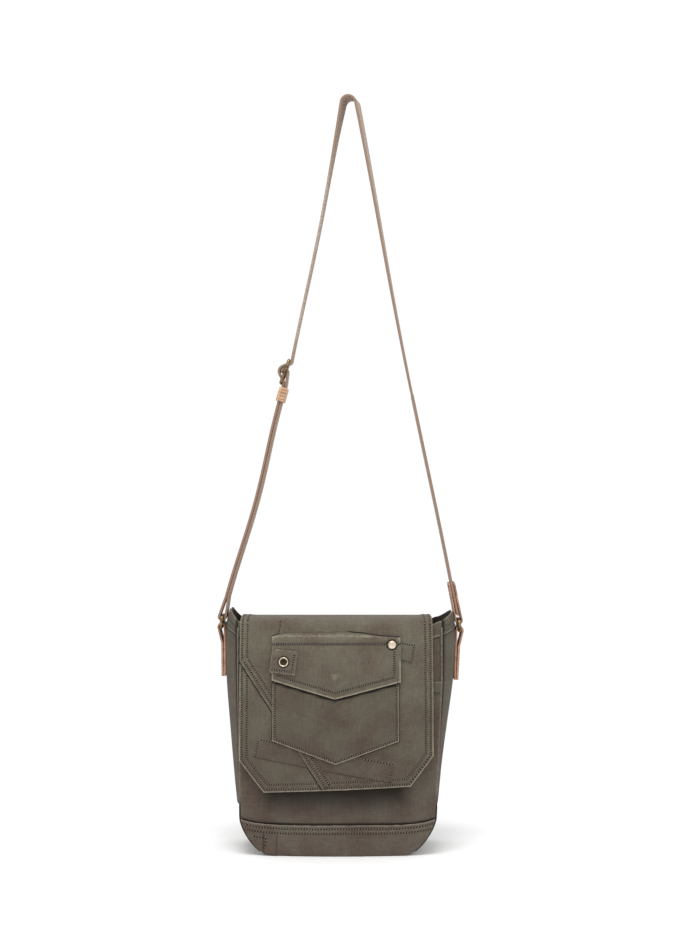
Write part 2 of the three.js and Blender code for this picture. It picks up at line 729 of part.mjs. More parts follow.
// A flat strap along a line in the XZ plane, twisted about the vertical by twistAt
function flatStrap(points, thickness, twistAt = () => 0) {
  const across = mitres(points, false);
  const half = strapWidth / 2;
  const sections = points.map((at, i) => {
    const twist = twistAt(at);
    const offset = across[i].clone().multiplyScalar(thickness / 2);
    return [[1, half], [1, -half], [-1, -half], [-1, half]].map(([face, y]) => {
      const x = face * offset.x;
      return point3(
        at.x + x * Math.cos(twist) - y * Math.sin(twist),
        x * Math.sin(twist) + y * Math.cos(twist),
        at.y + face * offset.y,
      );
    });
  });
  return sweep(sections, false);
}

// Each side's fittings: where its tab lies on the gusset and where its ring's bars are
function fittings(place) {
  const bottomBar = place.ringLevel - (ringHeight / 2) * Math.cos(ringTilt);
  const heights = steps((place.ringLevel - tabLength) / bodyHeight, 1, 24);
  const widest = Math.max(...heights.map((up) => {
    const onHem = up > 1 - (hemHeight + 2 * hemRelief) / bodyHeight ? hemRelief : 0;
    return Math.abs(gussetPoint(place, 0, up, onHem).x);
  }));
  const loopBend = ringWire / 2 + loopSlack + leather / 2;
  const layer = widest + gap + leather / 2;
  const barAcross = layer + loopBend;
  const lower = point2(place.side * barAcross, bottomBar);
  const upward = point2(-place.side * Math.sin(ringTilt), Math.cos(ringTilt));
  return { place, loopBend, layer, lower, upward, upper: lower.clone().addScaledVector(upward, ringHeight) };
}

const fitted = { left: fittings(sides.left), right: fittings(sides.right) };

// A leather tab: up the gusset, round the ring's lower bar and down over itself
function tab({ place, loopBend, layer, lower }) {
  const foot = place.ringLevel - tabLength;
  const inner = point2(place.side * layer, foot);
  const outerAcross = place.side * (layer + leather + gap);
  const loop = { at: lower, radius: loopBend, turn: -place.side };
  const meet = { at: point2(outerAcross, lower.y - tabLoop), radius: 0, turn: 1 };
  const { points } = route(inner, [loop, meet], point2(outerAcross, foot), tabLength);
  return flatStrap(points, leather);
}

addLeather('tab_left', tab(fitted.left));
addLeather('tab_right', tab(fitted.right));

// A loop of round wire about a rectangle with rounded corners, standing in the plane of Y and of
// the given upward direction
function wireLoop(centre, upward, halfAcross, halfUp, corner, wire, sidesCount) {
  const line = [[1, 1], [-1, 1], [-1, -1], [1, -1]].flatMap(([u, v], quarter) =>
    steps(0, Math.PI / 2, 3).map((turned) => {
      const angle = turned + (quarter * Math.PI) / 2;
      return point2(
        u * (halfAcross - corner) + corner * Math.cos(angle),
        v * (halfUp - corner) + corner * Math.sin(angle),
      );
    }));
  const outward = mitres(line, true);
  const lift = point3(upward.x, 0, upward.y);
  const sideways = point3(0, 1, 0);
  const normal = sideways.clone().cross(lift);
  const sections = line.map((at, i) => steps(0, 2 * Math.PI, sidesCount).slice(0, -1).map((angle) => {
    const reach = at.clone().addScaledVector(outward[i], (-wire / 2) * Math.cos(angle));
    return point3(centre.x, 0, centre.y)
      .addScaledVector(sideways, reach.x)
      .addScaledVector(lift, reach.y)
      .addScaledVector(normal, (-wire / 2) * Math.sin(angle));
  }));
  return sweep(sections, true);
}

const ringHalfAcross = strapWidth / 2 + ringClear + ringWire / 2;

function ring({ lower, upper, upward }) {
  const centre = lower.clone().lerp(upper, 0.5);
  return wireLoop(centre, upward, ringHalfAcross, ringHeight / 2, ringCorner, ringWire, 6);
}

addMesh('ring_left', ring(fitted.left), colours.brass, 0.4, 1);
addMesh('ring_right', ring(fitted.right), colours.brass, 0.4, 1);

// The slider's three bars, from the top one down
const sliderUp = point2(Math.sin(sliderTilt), Math.cos(sliderTilt));
const sliderBars = [1, 0, -1].map((share) =>
  point2(sliderAcross, sliderCentre).addScaledVector(sliderUp, (share * sliderHeight) / 2));

function slider() {
  const halfAcross = strapWidth / 2 + sliderClear + sliderWire / 2;
  const centre = point2(sliderAcross, sliderCentre);
  const loop = wireLoop(centre, sliderUp, halfAcross, sliderHeight / 2, sliderCorner, sliderWire, 8);
  const bar = new THREE.CylinderGeometry(sliderWire / 2, sliderWire / 2, 2 * halfAcross, 8);
  bar.translate(sliderAcross, 0, sliderCentre);
  return fromManifold(toManifold(loop).add(toManifold(bar)));
}

const slidingBend = sliderWire / 2 + gap + webbing / 2;
const outerBend = slidingBend + webbing + gap;
const ringBend = ringWire / 2 + gap + webbing / 2;

// One length of webbing: up from the right ring, over the top, down through the slider, round the
// left ring and back up to the slider's middle bar. Its two layers lie together down to the loop.
const apex = point2(strapTopAcross, strapTop);
const rightRun = apex.clone().add(point2(strapTopBend, 0)).sub(fitted.right.upper).normalize();
const webbingStart = fitted.right.upper.clone().addScaledVector(rightRun, endWebbingStart);
const tailEnd = sliderBars[1].clone()
  .addScaledVector(point2(-sliderUp.y, sliderUp.x), slidingBend)
  .addScaledVector(sliderUp, -tailLength);
const doubledRun = sliderBars[2].clone().sub(fitted.left.upper).normalize();
const loopTop = fitted.left.upper.clone().addScaledVector(doubledRun, strapLoop);
const besideLoop = point2(-doubledRun.y, doubledRun.x).multiplyScalar((webbing + gap) / 2);
const strapRoute = route(webbingStart, [
  { at: apex, radius: strapTopBend, turn: 1 },
  { at: sliderBars[0], radius: slidingBend, turn: -1 },
  { at: sliderBars[1], radius: outerBend + gap, turn: 1 },
  { at: sliderBars[2], radius: slidingBend, turn: -1 },
  { at: loopTop.clone().add(besideLoop), radius: 0, turn: 1 },
  { at: fitted.left.upper, radius: ringBend, turn: 1 },
  { at: loopTop.clone().sub(besideLoop), radius: 0, turn: 1 },
  { at: sliderBars[2], radius: outerBend, turn: 1 },
  { at: sliderBars[1], radius: slidingBend, turn: 1 },
], tailEnd, longestRun);

// The strap's own weight lets each free run bow inward a little
const sliderReach = (sliderHeight + sliderWire) / 2 + webbing;
const keeperFoot = sliderCentre - sliderReach - keeperDistance - keeperLength;
const strapBows = [
  { side: 1, from: fitted.right.upper.y + endLeatherLength, to: strapTop, depth: rightBow },
  { side: -1, from: sliderCentre + sliderReach, to: strapTop, depth: leftBow },
  { side: -1, from: loopTop.y, to: keeperFoot, depth: doubledBow },
];

function bowed(at) {
  const side = Math.sign(at.x - strapTopAcross);
  const bow = strapBows.find((row) => row.side === side && at.y > row.from && at.y < row.to);
  if (!bow) return at;
  const along = (at.y - bow.from) / (bow.to - bow.from);
  return point2(at.x - side * bow.depth * Math.sin(Math.PI * along) ** 2, at.y);
}

function strapTwistAt(at) {
  const below = Math.max(0, strapTop - at.y);
  const fade = at.x < strapTopAcross ? strapTwistFade.left : strapTwistFade.right;
  return strapTwist * Math.exp(-below / fade) * (at.y > sliderCentre - sliderHeight ? 1 : 0);
}

addMesh('strap_webbing', flatStrap(strapRoute.points.map(bowed), webbing, strapTwistAt),
  colours.webbing, 0.85);
addMesh('slider', slider(), colours.brass, 0.4, 1);

// The leather end sewn over the webbing, folded round the right ring's upper bar
function strapEndLeather() {
  const bar = fitted.right.upper;
  const aside = point2(rightRun.y, -rightRun.x).multiplyScalar((webbing + endLeather) / 2 + gap);
  const top = bar.clone().addScaledVector(rightRun, endLeatherLength);
  const loop = { at: bar, radius: ringWire / 2 + gap + endLeather / 2, turn: 1 };
  const { points } = route(top.clone().sub(aside), [loop], top.clone().add(aside), endLeatherLength);
  return flatStrap(points, endLeather);
}

addLeather('strap_end_leather', strapEndLeather());

// A short leather sleeve round both layers, just below the slider
function strapKeeper() {
  const down = strapRoute.contact[4];
  const back = strapRoute.contact[7];
  const reach = keeperDistance + keeperLength / 2;
  const pick = ([from, to], distance) =>
    from.clone().addScaledVector(to.clone().sub(from).normalize(), distance);
  const first = pick(down, reach);
  const second = pick([back[1], back[0]], reach);
  const middle = first.clone().lerp(second, 0.5);
  const along = down[0].clone().sub(down[1]).normalize();
  const halfThick = first.distanceTo(second) / 2 + webbing / 2 + keeperClear;
  const halfWide = strapWidth / 2 + keeperClear;
  const outline = (out) => [[-1, -1], [1, -1], [1, 1], [-1, 1]].map(([u, v]) =>
    point2(u * (halfThick + out), v * (halfWide + out)));
  const shape = new THREE.Shape(outline(pocketCloth));
  shape.holes.push(new THREE.Path(outline(0)));
  const sleeve = new THREE.ExtrudeGeometry(shape, { depth: keeperLength, bevelEnabled: false, steps: 1 });
  sleeve.translate(0, 0, -keeperLength / 2);
  sleeve.rotateY(Math.atan2(along.x, along.y));
  return sleeve.translate(middle.x, 0, middle.y);
}

addLeather('strap_keeper', strapKeeper());

// The origin lies on the underside of the strap's top
bag.position.set(-strapTopAcross, 0, -(strapTop + strapTopBend - webbing / 2));

const part = new THREE.Group();
part.add(bag);

export default part;
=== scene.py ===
"""A small shoulder bag of washed olive canvas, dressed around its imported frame.

Lengths below are millimetres as the bag is laid out: X across with its middle at 0, Y from front
to back and Z up from its base. metres() moves a point of it into the frame.
"""

import bisect
import math

import bmesh
import bpy
from mathutils import Matrix, Vector, noise


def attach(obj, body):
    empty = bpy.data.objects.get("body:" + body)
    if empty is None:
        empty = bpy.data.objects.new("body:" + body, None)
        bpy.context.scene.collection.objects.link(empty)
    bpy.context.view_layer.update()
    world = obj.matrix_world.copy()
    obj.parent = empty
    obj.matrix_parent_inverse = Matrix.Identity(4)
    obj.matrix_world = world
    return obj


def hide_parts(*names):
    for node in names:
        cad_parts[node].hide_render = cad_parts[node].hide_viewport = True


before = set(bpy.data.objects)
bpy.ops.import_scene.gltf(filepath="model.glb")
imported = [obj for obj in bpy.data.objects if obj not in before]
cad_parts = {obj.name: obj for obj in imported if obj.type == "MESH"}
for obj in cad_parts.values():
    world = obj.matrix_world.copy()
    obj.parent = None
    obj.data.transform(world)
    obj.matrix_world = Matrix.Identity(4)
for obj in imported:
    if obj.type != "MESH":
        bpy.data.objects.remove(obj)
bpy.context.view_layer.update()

# Camera, level and 2 m in front of the bag's middle plane, halfway up the hanging strap. It sees
# 0.933 m of height at that distance.
CAMERA_AWAY = 2.0
SEEN_HEIGHT = 0.933
SENSOR = 36
camera = bpy.data.objects.new("camera", bpy.data.cameras.new("camera"))
camera.data.sensor_width = SENSOR
camera.data.lens = SENSOR * CAMERA_AWAY / SEEN_HEIGHT
camera.location = (-0.0003, -CAMERA_AWAY, -0.3676)
camera.rotation_euler = (math.pi / 2, 0, 0)
bpy.context.scene.collection.objects.link(camera)
bpy.context.scene.camera = camera

# Front and back walls: washed cotton canvas, about 2 mm thick once its edges are felled, cut with
# rounded lower corners. The rim of each is turned in 13 mm and stitched down.
HANG_POINT = Vector((10.3, 0, 747.6))
BODY_HEIGHT = 226
BACK_DROP = 2.5
RIM_WIDTH = 200
BASE_WIDTH = 188
BASE_SHIFT = 2.2
RIM_DEPTH = 74
BASE_DEPTH = 84
CORNER_WIDTH = 27
CORNER_HEIGHT = 36
CORNER_POWER = 1.5
WIDEST_SHARE = 0.75
FRONT_CROWN = 9
BACK_CROWN = 4
CANVAS = 2
GAP = 0.3
HEM_HEIGHT = 13
HEM_RELIEF = 0.6
# Share of the crown, at a share of the body's height
CROWN_SHARES = [
    (0, 0.55), (0.1, 0.8), (0.2, 0.95), (0.38, 1), (0.56, 0.98),
    (0.72, 0.9), (0.87, 0.72), (0.94, 0.62), (1, 0.55),
]
OLIVE = "5b574a"
UMBER = "52473d"
FADED = "9c9282"
# Colour of dirt, and of painted shade in gaps, creases and under parts
SOIL_AND_SHADE = "17130e"
CORNER_LIFT = 4.5
FRONT_LIFT = 2.5
FRONT_SAG = 1.5


def metres(point):
    """A point of the laid-out bag, in metres in the frame."""
    return (Vector(point) - HANG_POINT) / 1000


def linear(hex_colour):
    """An sRGB hex colour as the linear RGBA that a shader takes."""
    parts = [int(hex_colour[k : k + 2], 16) / 255 for k in (0, 2, 4)]
    return [p / 12.92 if p <= 0.04045 else ((p + 0.055) / 1.055) ** 2.4 for p in parts] + [1]


def smooth(low, high, at):
    """0 up to low and 1 from high on, with a soft step between them."""
    t = min(max((at - low) / (high - low), 0), 1)
    return t * t * (3 - 2 * t)


def line_at(e, width):
    """1 on a line and 0 away from it, e millimetres from it."""
    return math.exp(-((e / width) ** 2))


def steps(start, end, longest):
    """Even steps from start to end, none longer than longest."""
    count = max(1, math.ceil(abs(end - start) / longest))
    return [start + (end - start) * k / count for k in range(count + 1)]


def curve_at(rows, at):
    """A smooth curve through rows of (place, value), read at one place."""
    after = next((k for k, row in enumerate(rows) if row[0] > at), len(rows) - 1)
    i = min(max(after - 1, 0), len(rows) - 2)
    (a, low), (b, high) = rows[i], rows[i + 1]

    def slope(j):
        (p, before), (q, beyond) = rows[max(0, j - 1)], rows[min(len(rows) - 1, j + 1)]
        return (beyond - before) / (q - p)

    t = min(max((at - a) / (b - a), 0), 1)
    return (
        (2 * t**3 - 3 * t * t + 1) * low
        + (t**3 - 2 * t * t + t) * (b - a) * slope(i)
        + (3 * t * t - 2 * t**3) * high
        + (t**3 - t * t) * (b - a) * slope(i + 1)
    )


def half_width(z):
    lean = min(1, z / (WIDEST_SHARE * BODY_HEIGHT))
    low = max(0, 1 - z / CORNER_HEIGHT)
    cut = CORNER_WIDTH * (1 - (1 - low**CORNER_POWER) ** (1 / CORNER_POWER))
    return (BASE_WIDTH + (RIM_WIDTH - BASE_WIDTH) * lean) / 2 - cut


def body_middle(z):
    return -BASE_SHIFT * max(0, 1 - z / (WIDEST_SHARE * BODY_HEIGHT))


def half_depth(z):
    return (BASE_DEPTH + (RIM_DEPTH - BASE_DEPTH) * z / BODY_HEIGHT) / 2


def face_depth(side, x, z):
    """How far the front (side -1) or the back (side 1) lies from the middle plane."""
    crown = FRONT_CROWN if side < 0 else BACK_CROWN
    across = min(1, abs(x - body_middle(z)) / half_width(z))
    return half_depth(z) + crown * curve_at(CROWN_SHARES, z / BODY_HEIGHT) * (1 - across**2)


def slack(x, y, z):
    """Broad dents and small creases of an empty cloth bag, outward in millimetres."""
    at = Vector((x, y, z))
    broad = noise.noise(at / 46 + Vector((3.1, 0.7, 5.3)))
    small = noise.noise(at / 14 + Vector((8.2, 2.5, 1.9)))
    return smooth(0, 25, z) * (1.5 * broad + 0.4 * small)


def wall_at(side, u, z, lift):
    """A place on the front or back wall: u runs from -1 to 1 as seen from outside."""
    x = body_middle(z) - side * u * half_width(z)
    dent = slack(x, side * 45, z) * (1 - u**4)
    if side > 0:
        raised = CORNER_LIFT * smooth(0.86, 1, abs(u))
    else:
        raised = (FRONT_LIFT + FRONT_SAG) * smooth(0.88, 1, abs(u)) - FRONT_SAG
    return x, side * (face_depth(side, x, z) + lift + dent), z + raised * (z / BODY_HEIGHT) ** 8


def turned_edge(e, rows, full):
    """Height of a turned, stitched edge, e millimetres in from its fold: the doubled cloth is
    full thick up to the last row, and each row of stitches pulls a groove into it."""
    doubled = full * (1 - smooth(rows[-1] + 0.4, rows[-1] + 2.4, e))
    return doubled - sum(0.32 * line_at(e - row, 0.8) for row in rows)


def row_dirt_and_shade(e, rows):
    """Dirt and painted shade in the grooves of stitch rows, e millimetres in from the edge."""
    return -0.3 * sum(line_at(e - row, 0.9) for row in rows)


def pucker(a, b, e, reach):
    """Small waves that tight stitching leaves beside an edge, up to reach in from it."""
    wave = noise.noise(Vector((a, b, 4.4)) / 3.6) + 0.6 * noise.noise(Vector((a, b, 9.1)) / 8)
    return 0.4 * wave * (1 - smooth(0.5 * reach, reach, e))


def add_node(tree, kind, inputs=(), **settings):
    """Adds a shader node with its settings. Inputs are values or the sockets that feed them."""
    made = tree.nodes.new("ShaderNode" + kind)
    for key, value in settings.items():
        setattr(made, key, value)
    for key, value in dict(inputs).items():
        if isinstance(value, bpy.types.NodeSocket):
            tree.links.new(value, made.inputs[key])
        else:
            made.inputs[key].default_value = value
    return made


def new_material(name):
    """A new material with its node tree and its shader."""
    material = bpy.data.materials.new(name)
    material.use_nodes = True
    return material, material.node_tree, material.node_tree.nodes["Principled BSDF"]


def noise_at(tree, place, scale, detail=2, roughness=0.5):
    return add_node(tree, "TexNoise", {"Vector": place, "Scale": scale, "Detail": detail,
                                       "Roughness": roughness}).outputs["Fac"]


def ranged(tree, value, low, high, start=0, end=1):
    """A value between low and high, brought to between start and end."""
    return add_node(tree, "MapRange", {"Value": value, "From Min": low, "From Max": high,
                                       "To Min": start, "To Max": end}).outputs[0]


def blend(tree, share, low, high):
    """The colour between low and high at a share of 0 to 1."""
    return add_node(tree, "Mix", {0: share, 6: low, 7: high}, data_type="RGBA").outputs[2]


def worked(tree, operation, *values, kind="Math"):
    """The result of a Math or VectorMath node."""
    return add_node(tree, kind, dict(enumerate(values)), operation=operation).outputs[0]


def emboss(tree, shader, height, strength, deep):
    """Raises the surface by a pattern, deep metres at most."""
    bump = add_node(tree, "Bump", {"Height": height, "Strength": strength, "Distance": deep})
    tree.links.new(bump.outputs[0], shader.inputs["Normal"])


def plain_material(name, light, dark, scale, roughness, detail=2):
    """A matt material in two tones that lie close together, such as thread or paper."""
    material, tree, shader = new_material(name)
    spots = add_node(tree, "TexNoise", {"Scale": scale, "Detail": detail}).outputs["Fac"]
    tint = blend(tree, spots, linear(light), linear(dark))
    tree.links.new(tint, shader.inputs["Base Color"])
    shader.inputs["Roughness"].default_value = roughness
    return material


def washed_canvas(name, light, dark, faded, soil_and_shade, low):
    """Garment-washed cotton canvas: a plain weave whose dye has gone patchy, pale where folds and
    edges rub (the piece's attribute above 0) and dark below 0, as dirt in seams and as painted
    shade in gaps, creases and under parts. Towards the base its colour is multiplied by low, a
    painted shade for the light that falls from above."""
    material, tree, shader = new_material(name)
    coordinates = add_node(tree, "TexCoord")
    place, cut = coordinates.outputs["Object"], coordinates.outputs["UV"]
    wear_and_shade = add_node(tree, "Attribute", attribute_name="wear_and_shade").outputs["Fac"]

    # Patches of washed-out dye, 30 mm and 6 mm wide
    patch_share = ranged(tree, noise_at(tree, place, 33, 3, 0.6), 0.36, 0.64)
    dye = blend(tree, patch_share, linear(light), linear(dark))
    grain = noise_at(tree, place, 420, 3, 0.7)
    # Uneven cotton yarn: streaks 1.2 mm wide and about 20 mm long, both ways of the weave
    streaks = []
    for turned, scale in (("warp", (0.05, 0.85, 1)), ("weft", (0.85, 0.05, 1))):
        yarn = add_node(tree, "Mapping", {"Vector": cut, "Scale": scale}, label=turned)
        streaks.append(noise_at(tree, yarn.outputs[0], 1))
    uneven = worked(tree, "ADD", worked(tree, "ADD", *streaks), grain)
    shade = ranged(tree, uneven, 1.15, 1.85, 0.84, 1.16)
    # Painted shade: the colour is multiplied by low towards the base, for the light that falls from
    # above
    height = add_node(tree, "SeparateXYZ", {0: place}).outputs["Z"]
    height_shade = blend(tree, ranged(tree, height, -0.54, -0.7), (1, 1, 1, 1), (*low, 1))
    dye_with_height_shade = worked(tree, "MULTIPLY", dye, height_shade, kind="VectorMath")
    mottled = worked(tree, "MULTIPLY", dye_with_height_shade, shade, kind="VectorMath")
    # Rubbed edges come out broken, because only the crowns of the weave are worn
    rubbed = worked(tree, "ADD", wear_and_shade, worked(tree, "MULTIPLY_ADD", grain, 0.9, -0.45))
    pale = blend(tree, ranged(tree, rubbed, 0.1, 1.1), mottled, linear(faded))
    # Dirt, and painted shade, where the attribute is below 0
    coloured = blend(tree, ranged(tree, wear_and_shade, -0.05, -1), pale, linear(soil_and_shade))
    tree.links.new(coloured, shader.inputs["Base Color"])

    # Plain weave, drawn at 1.1 mm where the real yarns lie 0.6 mm apart, so that it shows
    waves = [
        add_node(tree, "TexWave", {"Vector": cut, "Scale": 0.314 / 1.1, "Distortion": 0.6,
                                   "Detail": 1, "Detail Scale": 2}, bands_direction=way)
        for way in ("X", "Y")
    ]
    weave = worked(tree, "MULTIPLY", *(wave.outputs["Fac"] for wave in waves))
    emboss(tree, shader, worked(tree, "MULTIPLY_ADD", uneven, 0.8, weave), 0.55, 0.00035)
    shader.inputs["Roughness"].default_value = 0.92
    shader.inputs["Specular IOR Level"].default_value = 0.25
    shader.inputs["Sheen Weight"].default_value = 0.06
    shader.inputs["Sheen Roughness"].default_value = 0.6
    return material


# Its low colour is a slight painted shade, darker and browner towards the base
body_canvas = washed_canvas("washed olive cotton canvas", OLIVE, UMBER, FADED, SOIL_AND_SHADE,
                            (0.99, 0.91, 0.97))
# Lining: brown cotton, seen only where the rim stands open
lining = washed_canvas("brown cotton lining", "3a2f28", "2c231d", "4a3f36", SOIL_AND_SHADE, (1, 1, 1))


def made_object(bm, name, *materials):
    """Makes an object of a bmesh and puts it in the scene."""
    made = bpy.data.objects.new(name, bpy.data.meshes.new(name))
    bm.to_mesh(made.data)
    bm.free()
    for material in materials:
        made.data.materials.append(material)
    bpy.context.scene.collection.objects.link(made)
    return made


def round_edges(piece, name, width, segments):
    """Rounds a piece's sharp edges over a width in millimetres."""
    roll = piece.modifiers.new(name, "BEVEL")
    roll.width = width / 1000
    roll.segments = segments
    roll.limit_method = "ANGLE"
    roll.angle_limit = math.radians(50)


def lay_cloth(name, us, vs, at, thickness, finish, wear_and_shade=None, centred=False, edge=0.4,
              hole=None, inner=None):
    """A wall of cloth or leather on a grid of us across and vs along, in millimetres of the cut.
    at(u, v) places its outer face, the function after the finish says how rubbed or soiled it is
    there and how much shade is painted on it, and hole(u, v) whether it is punched out."""
    bm = bmesh.new()
    bmesh.ops.create_grid(bm, x_segments=len(us) - 1, y_segments=len(vs) - 1, size=0.5)
    cut = bm.loops.layers.uv.new("cut")
    wear = bm.verts.layers.float.new("wear_and_shade")
    spots = {}
    for vert in bm.verts:
        u = us[round((vert.co.x + 0.5) * (len(us) - 1))]
        v = vs[round((vert.co.y + 0.5) * (len(vs) - 1))]
        spots[vert] = (u, v)
        vert.co = metres(at(u, v))
        vert[wear] = wear_and_shade(u, v) if wear_and_shade else 0
    for face in bm.faces:
        face.smooth = True
        for loop in face.loops:
            loop[cut].uv = spots[loop.vert]
    if hole:
        gone = [vert for vert in bm.verts if hole(*spots[vert])]
        bmesh.ops.delete(bm, geom=gone, context="VERTS")
    piece = made_object(bm, name, finish)
    wall = piece.modifiers.new("thickness", "SOLIDIFY")
    wall.thickness = thickness / 1000
    wall.offset = 0 if centred else -1
    wall.use_even_offset = True
    if inner:
        piece.data.materials.append(inner)
        wall.material_offset = 1
    round_edges(piece, "rolled edge", edge * thickness, 3)
    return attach(piece, "root")


def hem_wear_and_shade(z, top):
    """A rim rubbed pale along its fold and along the lower edge of its hem, with painted shade in a
    dark line just below that edge.
    """
    below = z - top + HEM_HEIGHT
    return 0.45 * line_at(z - top, 1.2) + 0.8 * line_at(below, 0.8) - 0.6 * line_at(below + 1.7, 0.9)


def wall_rows(top):
    """Heights of a wall's rows, closer together at its rounded foot and at its hem."""
    hem = top - HEM_HEIGHT
    return steps(0, 40, 1.8)[:-1] + steps(40, hem - 3, 2.6)[:-1] + steps(hem - 3, top, 0.9)


def hemmed_lift(z, top):
    """Relief of a turned rim above the wall, with its row of stitches near the hem's edge."""
    return HEM_RELIEF * smooth(top - HEM_HEIGHT - 0.5, top - HEM_HEIGHT + 0.5, z)


WALL_COLUMNS = steps(-RIM_WIDTH / 2, RIM_WIDTH / 2, 2.6)
for name, side, top in (
    ("front_panel", -1, BODY_HEIGHT),
    ("back_panel", 1, BODY_HEIGHT - BACK_DROP),
):
    panel = lay_cloth(
        name + "_cloth",
        WALL_COLUMNS,
        wall_rows(top),
        lambda u, z: wall_at(side, 2 * u / RIM_WIDTH, z, hemmed_lift(z, top)),
        CANVAS,
        body_canvas,
        lambda u, z: hem_wear_and_shade(z, top),
        inner=lining,
    )
    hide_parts(name)

# Thread: cotton-wrapped polyester, top-stitched 4 stitches to the centimetre in the cloth's own
# colour. Each stitch is a short ridge, and a dark disc at the needle hole between two stitches is
# painted shade.
STITCH = 2.5
thread = plain_material("olive core-spun thread", "5e584b", "7a7161", 900, 0.8)
needle_hole_shade = plain_material("shadowed needle hole", "0c0a07", "16120d", 700, 1)
one_stitch = bmesh.new()
bmesh.ops.create_uvsphere(one_stitch, u_segments=6, v_segments=4, radius=0.5)
# A small dark disc at each needle hole: painted shade
one_shade_disc = bmesh.new()
bmesh.ops.create_icosphere(one_shade_disc, subdivisions=1, radius=0.5)
STITCH_PARTS = []
for index, (part_name, form) in enumerate((("stitch", one_stitch), ("needle_hole_shade_disc", one_shade_disc))):
    for form_face in form.faces:
        form_face.smooth = True
        form_face.material_index = index
    STITCH_PARTS.append(bpy.data.meshes.new(part_name))
    form.to_mesh(STITCH_PARTS[-1])
    form.free()


def sew(name, rows, face, pitch=STITCH, bold=1.4, finish=thread, down=False):
    """Rows of stitches on a face: rows are lines of places that face(a, b) puts on the cloth, seen
    from outside with a to the right and b up, or down where down is set."""
    bm = bmesh.new()
    for row in rows:
        for (a0, b0), (a1, b1) in zip(row, row[1:]):
            start, end = Vector((a0, b0)), Vector((a1, b1))
            count = max(1, round((Vector(face(*end)) - Vector(face(*start))).length / pitch))
            way = (end - start).normalized()
            beside = Vector((-way.y, way.x)) * 0.5 * (end - start).length / (count * pitch)
            for k in range(count):
                spots = [start.lerp(end, (k + share) / count) for share in (0.2, 0.55, 1.0)]
                first, middle, hole = (Vector(face(*spot)) for spot in spots)
                along = (middle - first).normalized()
                edge = Vector(face(*(spots[1] + beside))) - Vector(face(*(spots[1] - beside)))
                up = along.cross(-edge if down else edge).normalized()
                across = up.cross(along)
                axes = Matrix((across, up, along)).transposed().to_4x4()
                shapes = (
                    (middle + up * 0.1, (0.8 * bold, 0.6 * bold, 0.55 * pitch)),
                    # The flat dark disc at the hole is painted shade
                    (hole + up * 0.12, (1.4 * bold, 0.5, 1.3 * bold)),
                )
                for form, (place, size) in zip(STITCH_PARTS, shapes):
                    placed = form.copy()
                    placed.transform(Matrix.Translation(metres(place)) @ axes
                                     @ Matrix.Diagonal((*(s / 1000 for s in size), 1)))
                    bm.from_mesh(placed)
                    bpy.data.meshes.remove(placed)
    piece = made_object(bm, name, finish, needle_hole_shade)
    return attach(piece, "root")


def level_row(z, reach):
    """A row of stitches at one height across a wall, between the shares -reach and reach."""
    return [(u, z) for u in steps(-reach, reach, 0.12)]


back_hem = BODY_HEIGHT - BACK_DROP - HEM_HEIGHT + 2
sew("back_panel_stitching", [level_row(back_hem, 0.97)],
    lambda u, z: wall_at(1, u, z, HEM_RELIEF))

# Gussets: the side walls, one strip of the same canvas each, bellied out by the things carried and
# pulled up at the rim by the strap. Their rims are turned in and double-stitched.
GUSSET_SPREAD = 13.5
GUSSET_FULLNESS = 1.3
GUSSET_FLAT = 16
GUSSET_SEAM = 47
LIFT_POWER = 4
# Lift of the rim by the strap, and share of the spread at a share of the body's height
GUSSETS = {
    -1: (13.5, [(0, 0), (0.1, 0.1), (0.2, 0.33), (0.38, 0.56), (0.56, 0.75), (0.72, 0.91),
                (0.87, 0.97), (0.94, 0.92), (1, 0.62)]),
    1: (10.5, [(0, 0), (0.1, 0.05), (0.2, 0.22), (0.38, 0.38), (0.56, 0.64), (0.72, 0.9),
               (0.87, 1.04), (0.94, 1.02), (1, 0.84)]),
}
SIDE_NAMES = {-1: "left", 1: "right"}


def gusset_rise(y, edge):
    return 1 - max(0, (abs(y) - GUSSET_FLAT) / (edge - GUSSET_FLAT)) ** GUSSET_FULLNESS


def gusset_at(side, across, level, lift, creased=True):
    """A place on a gusset's outer face: across from -1 in front to 1 at the back."""
    edge = half_depth(level) - CANVAS - GAP
    y = across * edge
    rise = gusset_rise(y, edge)
    rim_lift, spreads = GUSSETS[side]
    up = level / BODY_HEIGHT
    apart = smooth(0.42, 0.7, abs(across)) * (1 - across**4)
    dent = 0.6 * slack(side * 110, y, level) * apart if creased else 0
    # Two soft folds run down beside the front seam, where the cloth is pulled to the strap
    pull = 0.5 * line_at(across + 0.72 - 0.1 * up, 0.1) if creased else 0
    spread = GUSSET_SPREAD * curve_at(spreads, up) * rise + dent + pull
    drop = BACK_DROP * (across + 1) / 2 - CORNER_LIFT * smooth(0.2, 1, across)
    drop -= FRONT_LIFT * smooth(0.2, 1, -across)
    z = level + (rim_lift * rise**1.4 - drop) * up**LIFT_POWER
    return body_middle(level) + side * (half_width(level) + spread + lift), y, z


